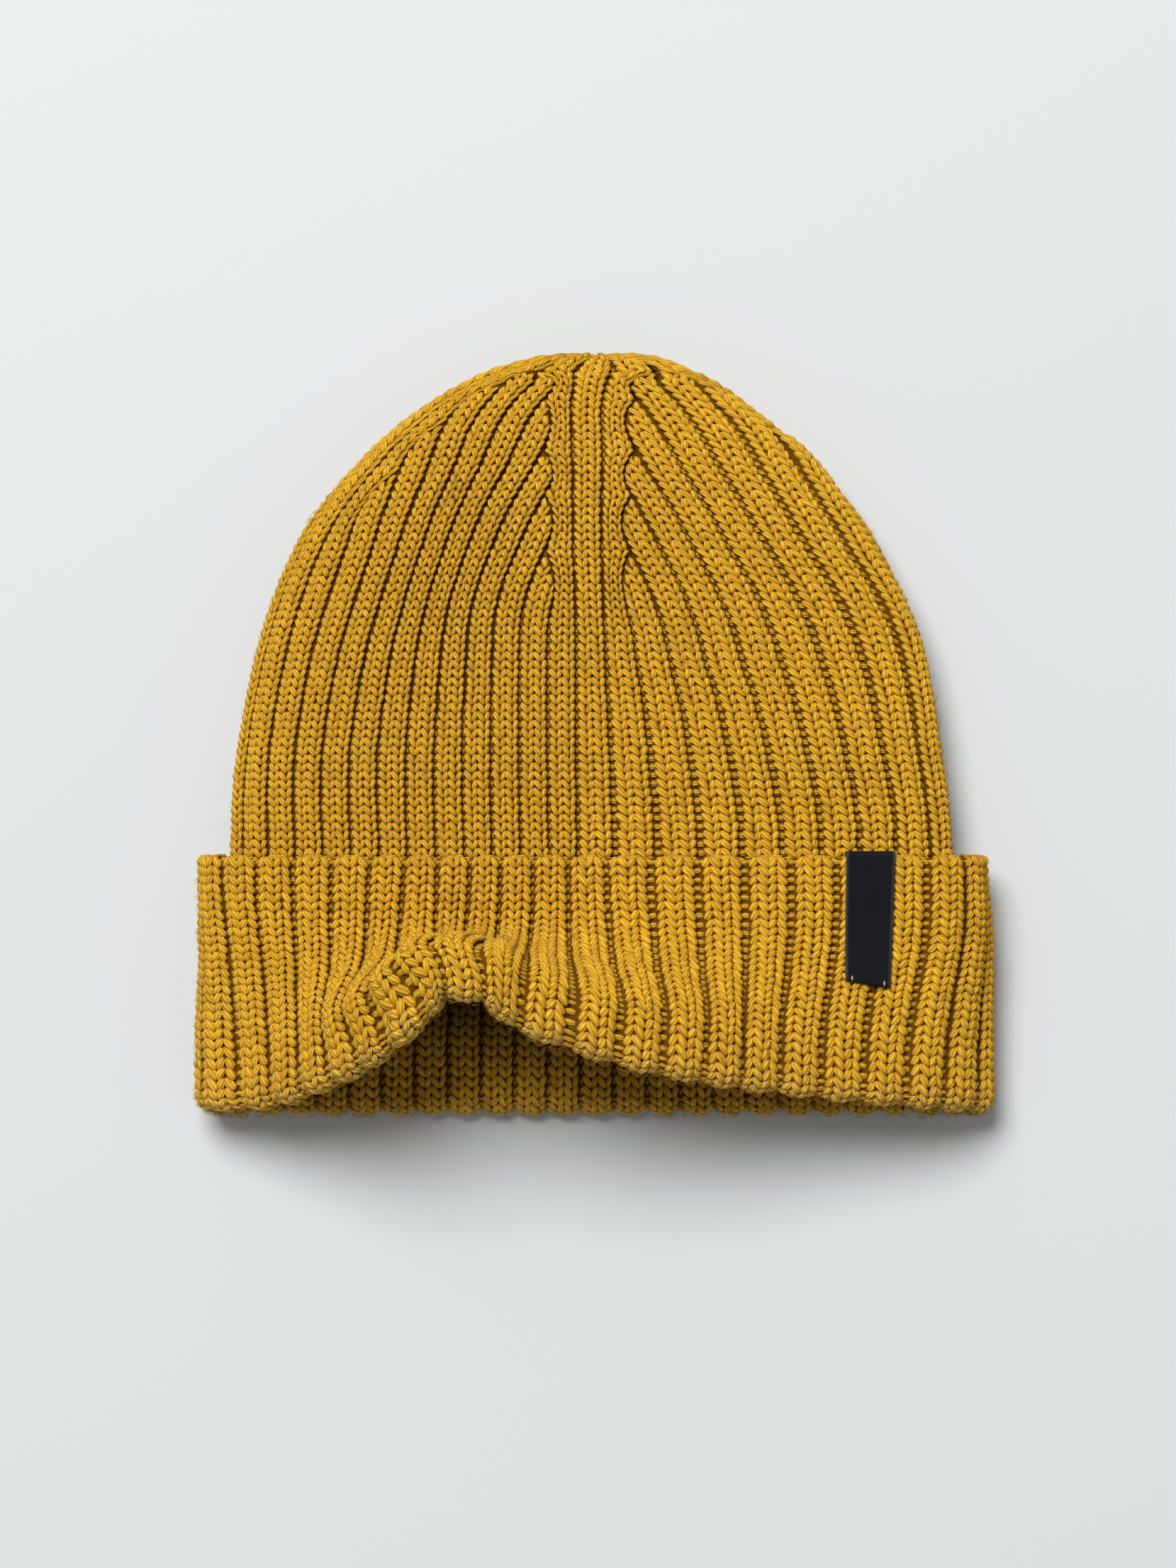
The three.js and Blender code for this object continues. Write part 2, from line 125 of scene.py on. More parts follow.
# up, and how many ribs beside a side line have run in under its flank, then the same for a face line
SIDE_ENDED = np.array([
    (0.55, 0), (0.6, 0.05), (0.675, 0.35), (0.748, 0.87), (0.846, 1.85), (0.938, 2.9), (0.963, 4),
])
FACE_ENDED = np.array([
    (0.37, 0), (0.43, 0.04), (0.51, 0.33), (0.582, 0.85), (0.695, 1.85), (0.786, 2.85), (0.898, 3.9),
    (0.963, 5),
])
TIP_BLUNTNESS = 2.3

# rib, around, hem, ridge, drawn, rise
CUFF_FOLDS = np.array([
    (0, 0.006, 0.02, 0, 0.021, 0),
    (1, 0.0287, 0.068, 0, 0.028, 0),
    (2, 0.0515, 0.054, 0, 0.05, 0.08),
    (3, 0.0738, 0.03, 0, 0.09, 0.22),
    (5, 0.1185, -0.018, -0.036, 0.197, 0.6),
    (6, 0.1389, -0.041, -0.043, 0.265, 0.76),
    (7, 0.1588, -0.022, -0.08, 0.39, 0.95),
    (8, 0.1779, -0.045, -0.044, 0.475, 1),
    (9, 0.1957, -0.0235, -0.02, 0.455, 0.97),
    (10, 0.2149, -0.018, 0.012, 0.36, 0.88),
    (12, 0.2575, 0.037, 0.012, 0.223, 0.66),
    (14, 0.311, 0.014, 0.008, 0.149, 0.47),
    (16, 0.3661, -0.042, 0, 0.104, 0.28),
    (18, 0.4187, -0.064, 0, 0.064, 0.12),
    (20, 0.4723, -0.08, 0, 0.033, 0.02),
    (22, 0.512, 0, 0, 0.008, 0),
    (24, 0.5455, 0, 0, 0, 0),
])
ARCH_RIDGE = 0.9
BULGE_START = 0.45
BULGE_PEAK = 0.8
LEFT_SWELL = 1.5
LEFT_SWELL_DOWN = (0.35, 0.8)
RIGHT_SWELL = 1.9
RIGHT_SWELL_DOWN = (0, 0.4)
print(len(CROWN_SECTIONS), "crown sections and", len(CUFF_FOLDS), "cuff folds")

# %% [markdown]
# The camera comes first. It looks straight down, as the photograph does, from far enough away to
# keep the perspective weak. The photograph is 5.127 pixels per millimetre at the crown's height.

# %% Camera
PHOTO_WIDTH = 1659
PHOTO_HEIGHT = 2212
PIXELS_PER_MM = 5.127
MIDDLE_LINE_X = 836
HEM_Y = 1578
CAMERA_DISTANCE = 1.5
FOCUS_HEIGHT = 0.024
SENSOR = 36


def make_camera():
    """The picture's width in metres at the focus height, over the distance, gives the lens:
    lens = sensor width x distance / picture width."""
    data = bpy.data.cameras.new("camera")
    data.sensor_fit = "HORIZONTAL"
    data.sensor_width = SENSOR
    data.lens = SENSOR * CAMERA_DISTANCE / (PHOTO_WIDTH / PIXELS_PER_MM * MM)
    data.clip_start = 0.01
    camera = bpy.data.objects.new("camera", data)
    x = (PHOTO_WIDTH / 2 - MIDDLE_LINE_X) / PIXELS_PER_MM + SHIFT[0]
    y = (HEM_Y - PHOTO_HEIGHT / 2) / PIXELS_PER_MM + SHIFT[1]
    camera.location = (x * MM, y * MM, FOCUS_HEIGHT + CAMERA_DISTANCE)
    bpy.context.scene.collection.objects.link(camera)
    bpy.context.scene.camera = camera
    return camera


camera = make_camera()
print("camera at", tuple(round(v, 4) for v in camera.location), "lens", round(camera.data.lens, 1))

# %% [markdown]
# Curves through the tables, and the outline of a flattened tube. A superellipse with a high power is
# flat in front and full at its side folds. Shares of the way round are shares of its length.

# %% Curves and outlines
def ease(value, start, end):
    """3t² - 2t³ with t the share of the way from start to end, held to 0 and 1 outside."""
    t = np.clip((value - start) / (end - start), 0, 1)
    return t * t * (3 - 2 * t)


def smooth_curve(keys, values, at):
    """A monotone cubic curve: each tangent is the harmonic mean of the slopes beside its row."""
    slopes = np.diff(values) / np.diff(keys)
    before = np.concatenate([slopes[:1], slopes])
    after = np.concatenate([slopes, slopes[-1:]])
    product = before * after
    total = before + after
    tangents = np.where(product > 0, 2 * product / np.where(total == 0, 1, total), 0)
    i = np.clip(np.searchsorted(keys, at, side="right") - 1, 0, len(keys) - 2)
    step = keys[i + 1] - keys[i]
    t = np.clip((at - keys[i]) / step, 0, 1)
    smooth = t * t * (3 - 2 * t)
    lift = step * t * (1 - t) * (tangents[i] * (1 - t) - tangents[i + 1] * t)
    return values[i] * (1 - smooth) + values[i + 1] * smooth + lift


def outline(left, right, back, front, power, share):
    """Points at the given shares of one outline's length, from the left fold over the front.
    x = centre - half cos^(2/power) and z = side + depth sin, over the angle."""
    angle = np.linspace(0, 2 * np.pi, 1441)
    across = np.cos(angle)
    height = np.sin(angle)
    side = back + (front - back) * SIDE_HEIGHT
    x = (left + right) / 2 - (right - left) / 2 * np.sign(across) * np.abs(across) ** (2 / power)
    z = side + np.where(height > 0, front - side, side - back) * height
    length = np.concatenate([[0], np.cumsum(np.hypot(np.diff(x), np.diff(z)))])
    at = (share % 1) * length[-1]
    return np.interp(at, length, x), np.interp(at, length, z)


# %% [markdown]
# A sheet of knitting is a grid of points: rows run along the fabric and columns run round the tube,
# twelve to a rib. It can be sampled anywhere, which is how stitches are bent onto it.

# %% Sheets of knitting
COLUMNS_PER_RIB = 12
COLUMNS = RIBS * COLUMNS_PER_RIB


def sample_grid(grid, row, column):
    """Bilinear interpolation at fractional rows and columns. The columns run round and meet."""
    low = np.clip(row.astype(int), 0, grid.shape[0] - 2)
    column = column % grid.shape[1]
    left = column.astype(int) % grid.shape[1]
    right = (left + 1) % grid.shape[1]
    t = row - low
    s = column - np.floor(column)
    if grid.ndim == 3:
        t = t[..., None]
        s = s[..., None]
    lower = grid[low, left] * (1 - s) + grid[low, right] * s
    upper = grid[low + 1, left] * (1 - s) + grid[low + 1, right] * s
    return lower * (1 - t) + upper * t


def grid_normals(points, outward_sign):
    """Unit normals of a grid: the cross product of its steps round and along."""
    along = np.gradient(points, axis=0)
    around = (np.roll(points, -1, axis=1) - np.roll(points, 1, axis=1)) / 2
    normals = outward_sign * np.cross(around, along)
    return normals / np.maximum(np.linalg.norm(normals, axis=2, keepdims=True), 1e-9)


class Sheet:
    """A grid of points with outward normals. lengths are the rows' places along the fabric in mm.
    For each rib, width is its whole width in mm, and low and high are the share of it that shows."""

    def __init__(self, points, normals, lengths, width, low, high, faces_outward):
        self.points = points
        self.normals = normals
        self.lengths = lengths
        self.width = width
        self.low = low
        self.high = high
        self.faces_outward = faces_outward

    def rows(self, length):
        return np.interp(length, self.lengths, np.arange(len(self.lengths)))

    def rib_value(self, grid, length, rib):
        """A value kept once for each row and rib."""
        row = self.rows(length)
        low = np.minimum(row.astype(int), len(self.lengths) - 2)
        t = row - low
        rib = rib % RIBS
        return grid[low, rib] * (1 - t) + grid[low + 1, rib] * t

    def place(self, length, rib, height):
        """The point at a height over the sheet, in mm."""
        row = self.rows(length)
        column = rib * COLUMNS_PER_RIB
        normal = sample_grid(self.normals, row, column)
        return sample_grid(self.points, row, column) + normal * height[..., None]


# %% [markdown]
# The crown. Ribs keep their place between four decrease lines. A rib that ends slides in under the
# flank rib of its line, so it keeps its width almost to its blunt end, as in the photograph.

# %% The crown's sheet
def crown_sections(height):
    """left, right, back and front in mm at each height above the cuff's top edge."""
    inside = (LAYER_STEP, CUFF_DEPTH - LAYER_STEP)
    half = CUFF_WIDTH / 2 - LAYER_STEP
    rows = [(-CROWN_TUCK, -half, half, *inside), (0, -CROWN_WIDTH / 2, CROWN_WIDTH / 2, *inside)]
    scale = np.array([CROWN_HEIGHT, -CROWN_WIDTH / 2, CROWN_WIDTH / 2, CROWN_DEPTH, CROWN_DEPTH])
    table = np.vstack([rows, CROWN_SECTIONS * scale])
    return [smooth_curve(table[:, 0], table[:, i], height) for i in range(1, 5)]


def rib_shows(up):
    """For each rib of one quarter, from a side line to a face line: the share of it that shows, and
    whether it runs in under the side line's flank. An ending rib stays wide almost to its end, at
    1 - (1 - share)^bluntness, and the flank rib beside it gives way by as much."""
    step = np.arange(QUARTER)
    inner = (step > 1) & (step < QUARTER - 1)
    from_side = np.where(inner, step - 1 - smooth_curve(*SIDE_ENDED.T, up), 1)
    from_face = np.where(inner, QUARTER - step - 1 - smooth_curve(*FACE_ENDED.T, up), 1)
    at_side = from_side < from_face
    even = np.clip(np.minimum(from_side, from_face), 0, 1)
    shown = 1 - (1 - even) ** TIP_BLUNTNESS
    shown[1] -= (shown - even)[at_side].sum()
    shown[-1] -= (shown - even)[~at_side & inner].sum()
    return shown, at_side


def crown_ribs(up):
    """For each rib: its whole extent round the crown, and the part of it that shows, as shares of
    the way round. A cut rib keeps its whole width and is cut off at the side where its flank is,
    while the flank rib is squeezed. Between two lines the ribs' places are bent away from even
    ones by bend f (1 - f) + bunch sin(2 pi f) / 2 pi, which makes the right front lean."""
    first = []
    shown, at_side = rib_shows(up)
    heights, *columns = CROWN_SPREAD.T
    right_line, right_bend, left_bunch = [smooth_curve(heights, column, up) for column in columns]
    lines = (LEFT_LINE, FRONT_LINE, right_line, BACK_LINE, 1 + LEFT_LINE)
    bends = (0, right_bend, 0, 0)
    bunches = (left_bunch, 0, 0, 0)
    for quarter in range(4):
        weights = shown
        cut_low = at_side
        if quarter % 2:
            weights = np.concatenate([shown[:1], shown[:0:-1]])
            cut_low = ~np.concatenate([at_side[:1], at_side[:0:-1]])
        order = np.arange(1, QUARTER + 1) % QUARTER
        even = (0.5 + np.concatenate([[0], np.cumsum(weights[order])])) / weights.sum()
        turn = 2 * np.pi * even
        bent = even + bends[quarter] * even * (1 - even) + bunches[quarter] * np.sin(turn) / (2 * np.pi)
        span = lines[quarter + 1] - lines[quarter]
        edges = lines[quarter] + span * bent
        stretch = 1 + bends[quarter] * (1 - 2 * even) + bunches[quarter] * np.cos(turn)
        pitch = span / weights.sum() * (stretch[1:] + stretch[:-1]) / 2
        start = edges[:-1]
        end = edges[1:]
        flank = np.isin(order, (1, QUARTER - 1))
        whole = np.where(flank, start, np.where(cut_low[order], end - pitch, start))
        first.append(np.stack([whole, np.where(flank, end - start, pitch), start, end]))
    whole, pitch, start, end = np.concatenate(first, axis=1)
    line = np.arange(QUARTER - 1, RIBS, QUARTER)
    end[line] = np.append(start[1:], start[0] + 1)[line]
    pitch[line] = end[line] - start[line]
    return np.array([whole, pitch, start, end])


def make_crown_sheet(rows=220, fine_columns=1440):
    """Rows at even lengths along the front's middle line, from behind the cuff to the tip."""
    fine = np.concatenate([np.linspace(-CROWN_TUCK + 2, 0.95 * CROWN_HEIGHT, 600),
                           np.linspace(0.951 * CROWN_HEIGHT, 0.9995 * CROWN_HEIGHT, 600)])
    front = crown_sections(fine)[3]
    run = np.concatenate([[0], np.cumsum(np.hypot(np.diff(fine), np.diff(front)))])
    lengths = np.linspace(0, run[-1], rows)
    heights = np.interp(lengths, run, fine)
    smooth = np.empty((rows, fine_columns, 3))
    share = np.arange(fine_columns) / fine_columns
    extents = np.array([crown_ribs(height / CROWN_HEIGHT) for height in heights])
    girth = np.empty((rows, 1))
    for i, (height, section) in enumerate(zip(heights, np.array(crown_sections(heights)).T)):
        x, z = outline(*section, CROWN_POWER, share)
        smooth[i] = np.stack([x, np.full(fine_columns, CUFF_HEIGHT + height), z], axis=1)
        girth[i] = np.hypot(np.diff(x, append=x[0]), np.diff(z, append=z[0])).sum()
    whole, pitch, start, end = np.moveaxis(extents, 1, 0)
    fraction = np.arange(COLUMNS_PER_RIB) / COLUMNS_PER_RIB
    shares = whole[..., None] + pitch[..., None] * fraction
    shares = np.clip(shares, start[..., None], end[..., None]).reshape(rows, COLUMNS)
    row = np.repeat(np.arange(rows)[:, None], COLUMNS, axis=1).astype(float)
    normals = grid_normals(smooth, 1)
    return Sheet(sample_grid(smooth, row, shares * fine_columns) + SHIFT,
                 sample_grid(normals, row, shares * fine_columns),
                 lengths - np.interp(0, fine, run), pitch * girth,
                 (start - whole) / pitch, (end - whole) / pitch, True)


crown = make_crown_sheet()
print("crown sheet", crown.points.shape, "fabric length", round(crown.lengths[-1], 1), "mm")

# %% [markdown]
# The cuff. Its one sheet starts at the cast-on edge, runs down the outer face, round the hem and up
# the inner face, so the ribs turn the hem unbroken, as they do in the real hat.

# %% The cuff's sheet
def cuff_folds(rib):
    """The table's columns at each rib. Over the back the ribs are even and lie flat."""
    last = CUFF_FOLDS[-1]
    first = CUFF_FOLDS[0]
    front = [smooth_curve(CUFF_FOLDS[:, 0], CUFF_FOLDS[:, i], rib) for i in range(1, 6)]
    share = (rib - last[0]) / (RIBS - last[0])
    near = ease(share, 0.9, 1)
    level = 0 * near
    around = last[1] + (1 + first[1] - last[1]) * share
    back = [around, first[2] * near, level, first[4] * near, level]
    return [np.where(rib <= last[0], a, b) for a, b in zip(front, back)]


def cuff_face(down, rib):
    """The outer face at shares of the way down and places round in ribs."""
    around, hem, ridge, drawn, rise = cuff_folds(rib)
    x, z = outline(-CUFF_WIDTH / 2, CUFF_WIDTH / 2, 0, CUFF_DEPTH, CUFF_POWER, around)
    down = down[:, None]
    join = (CROWN_TUCK + JOIN_GAP) / (CUFF_HEIGHT - HEM_RADIUS)
    raised = ease(down, join, ARCH_RIDGE)
    bulge = ease(down, BULGE_START, BULGE_PEAK) * (1 - ease(down, BULGE_PEAK, 1))
    half = CUFF_WIDTH / 2
    swell = np.where(x < 0, LEFT_SWELL * ease(down, *LEFT_SWELL_DOWN),
                     RIGHT_SWELL * ease(down, *RIGHT_SWELL_DOWN))
    return np.stack([
        x * (1 + (CUFF_FLARE * down + swell) / half) + half * (hem * ease(down, 0, 1) + ridge * bulge),
        CUFF_HEIGHT - down * (CUFF_HEIGHT - HEM_RADIUS) + drawn * CUFF_HEIGHT * raised,
        z + rise * ARCH_RISE * raised,
    ], axis=2)


def make_cuff_sheet():
    """Outer face, round hem and inner face in one grid, with the flat cuff's fabric lengths."""
    rib = np.arange(COLUMNS) / COLUMNS_PER_RIB
    down = np.linspace(0, 1, 120)
    face = cuff_face(down, rib)
    along = np.gradient(face, axis=0)
    around = (np.roll(face, -1, axis=1) - np.roll(face, 1, axis=1)) / 2
    normal = np.cross(along, around)
    normal /= np.linalg.norm(normal, axis=2, keepdims=True)
    along /= np.linalg.norm(along, axis=2, keepdims=True)
    angle = np.linspace(0, np.pi, 26)[1:-1, None, None]
    inward = normal[-1] * HEM_RADIUS * (1 - np.cos(angle))
    hem = face[-1] - inward + along[-1] * HEM_RADIUS * np.sin(angle)
    inside = (face - normal * 2 * HEM_RADIUS)[:24:-1]
    length = CUFF_HEIGHT - HEM_RADIUS
    lengths = np.concatenate([
        down * length,
        length + angle.ravel() * HEM_RADIUS,
        length + np.pi * HEM_RADIUS + (1 - down[:24:-1]) * length,
    ])
    points = np.concatenate([face, hem, inside])
    turned = normal[-1] * np.cos(angle) + along[-1] * np.sin(angle)
    normals = np.concatenate([normal, turned, -normal[:24:-1]])
    steps = np.linalg.norm(np.roll(points, -1, axis=1) - points, axis=2)
    width = steps.reshape(len(points), RIBS, COLUMNS_PER_RIB).sum(axis=2)
    whole = np.ones_like(width)
    return Sheet(points + SHIFT, normals, lengths, width, 0 * whole, whole, False)


cuff = make_cuff_sheet()
HEM_START = CUFF_HEIGHT - HEM_RADIUS
HEM_END = HEM_START + math.pi * HEM_RADIUS
HEM_MIDDLE = HEM_START + 0.4 * math.pi * HEM_RADIUS
print("cuff sheet", cuff.points.shape, "fabric length", round(cuff.lengths[-1], 1), "mm")

# %% [markdown]
# Materials. The yarn has two plies that twist along each leg, a fine fibre noise, a soft sheen and a
# tint that varies from stitch to stitch. These follow the stitches' own UV map and values, and slow
# patches follow the Object coordinates. The value "deep" turns the colour dark inside the mouth. It
# stands in for the hat's shade: the real yarn is just as yellow in there.

# %% Materials
YARN_PALE = (0.87, 0.475, 0.020, 1)
YARN_DEEP = (0.63, 0.31, 0.009, 1)
# Loose hairs turn the yarn paler and greyer: partly the wool's real hairiness, partly a painted sheen.
FUZZ_AND_SHEEN_COLOUR = (0.74, 0.52, 0.17, 1)
# Painted shade: the dark brown ground seen between the stitches, darker where its fibre noise is low.
GROUND_SHADE_COLOUR = (0.15, 0.062, 0.002, 1)
# Painted shade: the colour the yarn turns to deep inside the mouth.
SHADED_COLOUR = (0.05, 0.022, 0.001, 1)
GROUND_DARKEST = 0.6
LABEL_COLOUR = (0.0042, 0.0047, 0.007, 1)
SELVEDGE_COLOUR = (0.10, 0.10, 0.11, 1)
print("the yarn's colour runs from", YARN_DEEP[:3], "to", YARN_PALE[:3])

# %% [markdown]
# A material is a tree of nodes. Each node could be added and set in many lines, so a small class keeps
# the tree and makes the calls short. Unlinked sockets are set straight on the node that reads them.

# %% A helper for nodes
class Nodes:
    """Adds nodes to a material and links them with short calls."""

    def __init__(self, name):
        self.material = bpy.data.materials.new(name)
        self.material.use_nodes = True
        self.tree = self.material.node_tree
        self.shader = self.tree.nodes["Principled BSDF"]

    def add(self, kind, **settings):
        node = self.tree.nodes.new(kind)
        for name, value in settings.items():
            setattr(node, name, value)
        return node

    def link(self, output, target):
        self.tree.links.new(output, target)

    def value(self, node, **inputs):
        for name, value in inputs.items():
            node.inputs[name.replace("_", " ")].default_value = value
        return node


def with_painted_shade(nodes, colour):
    """Painted shade: the colour, turned towards the shaded one by the mesh's own "deep" value."""
    deep = nodes.add("ShaderNodeAttribute", attribute_name="deep")
    mix = nodes.add("ShaderNodeMix", data_type="RGBA")
    mix.inputs["B"].default_value = SHADED_COLOUR
    nodes.link(deep.outputs["Fac"], mix.inputs["Factor"])
    nodes.link(colour, mix.inputs["A"])
    return mix.outputs["Result"]


print("shade inside the mouth turns to", SHADED_COLOUR[:3])

# %% [markdown]
# The yarn. On the real hat it is soft wool of two plies, matt, with a faint sheen of loose hairs. An
# image could carry the twist, but a wave along the stitch's own UV map follows every bend for free.

# %% The yarn
SHEEN_WEIGHT = 0.12
SHEEN_COLOUR = (1.0, 0.75, 0.3, 1)
PLY_TURN = math.radians(24)
PLY_SCALE = (5.0, 0.9, 1)
FIBRE_SCALE = (9, 1.5, 1)
MOST_TINT = 1.6
# Painted shade: how far the ply bands darken the yarn's colour in the crevices between the plies.
PLY_CREVICE_SHADE = 0.3


def yarn_material():
    """Twisted plies as a wave's bands, over UVs that are turned so that the bands slant on the leg.
    The factor from deep yarn to pale yarn is (the stitch's tint + patches) / 1.6. The bands also
    darken the colour between the plies, which is painted shade. A value for loose hairs mixes in a
    paler colour, partly their real hairiness and partly a painted sheen."""
    nodes = Nodes("yarn")
    uv = nodes.add("ShaderNodeUVMap", uv_map="yarn")
    turn = nodes.add("ShaderNodeMapping")
    turn.inputs["Rotation"].default_value = (0, 0, PLY_TURN)
    turn.inputs["Scale"].default_value = PLY_SCALE
    nodes.link(uv.outputs["UV"], turn.inputs["Vector"])
    plies = nodes.value(nodes.add("ShaderNodeTexWave", wave_type="BANDS", bands_direction="X"),
                        Scale=0.5, Distortion=0.6, Detail=1.0, Detail_Scale=2.0)
    nodes.link(turn.outputs["Vector"], plies.inputs["Vector"])
    place = nodes.add("ShaderNodeTexCoord")
    stretch = nodes.add("ShaderNodeMapping")
    stretch.inputs["Scale"].default_value = FIBRE_SCALE
    nodes.link(uv.outputs["UV"], stretch.inputs["Vector"])
    fibres = nodes.value(nodes.add("ShaderNodeTexNoise"), Scale=5, Detail=3, Roughness=0.7)
    nodes.link(stretch.outputs["Vector"], fibres.inputs["Vector"])
    patches = nodes.value(nodes.add("ShaderNodeTexNoise"), Scale=55, Detail=3, Roughness=0.6)
    nodes.link(place.outputs["Object"], patches.inputs["Vector"])
    tint = nodes.add("ShaderNodeAttribute", attribute_name="tint")
    mixed = nodes.add("ShaderNodeMath", operation="ADD")
    nodes.link(tint.outputs["Fac"], mixed.inputs[0])
    nodes.link(patches.outputs["Fac"], mixed.inputs[1])
    shade = nodes.value(nodes.add("ShaderNodeMapRange"), From_Min=0.0, From_Max=MOST_TINT)
    nodes.link(mixed.outputs["Value"], shade.inputs["Value"])
    colour = nodes.add("ShaderNodeMix", data_type="RGBA")
    colour.inputs["A"].default_value = YARN_DEEP
    colour.inputs["B"].default_value = YARN_PALE
    nodes.link(shade.outputs["Result"], colour.inputs["Factor"])
    # Painted shade between the plies: the bands' colour multiplies the yarn's.
    groove = nodes.add("ShaderNodeMix", data_type="RGBA", blend_type="MULTIPLY")
    groove.inputs["Factor"].default_value = PLY_CREVICE_SHADE
    # Paler where loose hairs stand off: partly their real hairiness, partly a painted sheen on them.
    fuzz_and_sheen = nodes.add("ShaderNodeAttribute", attribute_name="fuzz_and_sheen")
    pale = nodes.add("ShaderNodeMix", data_type="RGBA")
    pale.inputs["B"].default_value = FUZZ_AND_SHEEN_COLOUR
    nodes.link(fuzz_and_sheen.outputs["Fac"], pale.inputs["Factor"])
    nodes.link(colour.outputs["Result"], pale.inputs["A"])
    nodes.link(pale.outputs["Result"], groove.inputs["A"])
    nodes.link(plies.outputs["Color"], groove.inputs["B"])
    nodes.link(with_painted_shade(nodes, groove.outputs["Result"]), nodes.shader.inputs["Base Color"])
    ply_bump = nodes.value(nodes.add("ShaderNodeBump"), Strength=0.7, Distance=0.0004)
    nodes.link(plies.outputs["Fac"], ply_bump.inputs["Height"])
    fibre_bump = nodes.value(nodes.add("ShaderNodeBump"), Strength=0.5, Distance=0.00018)
    nodes.link(fibres.outputs["Fac"], fibre_bump.inputs["Height"])
    nodes.link(ply_bump.outputs["Normal"], fibre_bump.inputs["Normal"])
    nodes.link(fibre_bump.outputs["Normal"], nodes.shader.inputs["Normal"])
    nodes.shader.inputs["Roughness"].default_value = 0.85
    nodes.shader.inputs["Specular IOR Level"].default_value = 0.2
    nodes.shader.inputs["Sheen Weight"].default_value = SHEEN_WEIGHT
    nodes.shader.inputs["Sheen Roughness"].default_value = 0.5
    nodes.shader.inputs["Sheen Tint"].default_value = SHEEN_COLOUR
    return nodes.material


yarn = yarn_material()
print("material:", yarn.name)

# %% [markdown]
# Between the stitches one sees deeper yarn in shade. Modelling it would double the stitches, so a plain
# dark surface with a fibre noise stands there, and is the only thing seen through the dots between legs.
# Its dark brown colour is painted shade.

# %% The ground's material
def ground_material():
    """Painted shade: a dark brown with a fibre noise for the shaded yarn behind the stitches."""
    nodes = Nodes("yarn_ground_shade")
    place = nodes.add("ShaderNodeTexCoord")
    fibres = nodes.value(nodes.add("ShaderNodeTexNoise"), Scale=900, Detail=4, Roughness=0.7)
    nodes.link(place.outputs["Object"], fibres.inputs["Vector"])
    colour = nodes.add("ShaderNodeMix", data_type="RGBA")
    colour.inputs["A"].default_value = tuple(GROUND_DARKEST * v for v in GROUND_SHADE_COLOUR[:3]) + (1,)
    colour.inputs["B"].default_value = GROUND_SHADE_COLOUR
    nodes.link(fibres.outputs["Fac"], colour.inputs["Factor"])
    nodes.link(with_painted_shade(nodes, colour.outputs["Result"]), nodes.shader.inputs["Base Color"])
    bump = nodes.value(nodes.add("ShaderNodeBump"), Strength=0.6, Distance=0.0005)
    nodes.link(fibres.outputs["Fac"], bump.inputs["Height"])
    nodes.link(bump.outputs["Normal"], nodes.shader.inputs["Normal"])
    nodes.shader.inputs["Roughness"].default_value = 0.95
    nodes.shader.inputs["Specular IOR Level"].default_value = 0.1
    return nodes.material


ground = ground_material()
print("material:", ground.name)

# %% [markdown]
# One yarn leg as a template: three rings and two end points round a slanting, arched centre line.
# Bottom is the end at the point of the V, which dives under the stitch before it.

# %% The leg template
RING = 5
RING_PLACES = (0.16, 0.52, 0.86)
RING_SIZES = (0.86, 1.0, 0.88)
rng = np.random.default_rng(11)


def capsule_faces(rings, sides=RING):
    """Triangles of a closed tube with a point at each end. Vertex 0 is the lower end."""
    first = 1
    last = 1 + rings * sides
    i = np.arange(sides)
    j = (i + 1) % sides
    faces = [np.stack([np.zeros(sides, int), first + j, first + i], axis=1)]
    for ring in range(rings - 1):
        a = first + ring * sides
        faces.append(np.stack([a + i, a + j, a + sides + j], axis=1))
        faces.append(np.stack([a + i, a + sides + j, a + sides + i], axis=1))
    a = last - sides
    faces.append(np.stack([a + i, a + j, np.full(sides, last)], axis=1))
    return np.concatenate(faces)


def capsule_shape(places, sizes, sides=RING):
    """For each vertex: its share along the centre line, its cosine and sine round it, and its size."""
    angle = 2 * np.pi * np.arange(sides) / sides
    t = np.concatenate([[0], np.repeat(places, sides), [1]])
    size = np.concatenate([[0], np.repeat(sizes, sides), [0]])
    cosine = np.concatenate([[0], np.tile(np.cos(angle), len(places)), [0]])
    sine = np.concatenate([[0], np.tile(np.sin(angle), len(places)), [0]])
    around = np.concatenate([[0.5], np.tile(angle / (2 * np.pi), len(places)), [0.5]])
    return t, cosine, sine, size, around


LEG_FACES = capsule_faces(len(RING_PLACES))
LEG_SHAPE = capsule_shape(RING_PLACES, RING_SIZES)
print("a leg has", len(LEG_FACES), "triangles")

# %% [markdown]
# Meshes from arrays. Positions are in millimetres in the frame and become metres here. A mesh could
# be built face by face with from_pydata, but foreach_set takes a whole array in one call, which is
# much faster for thousands of stitches. The order of a face's corners makes it face outward.

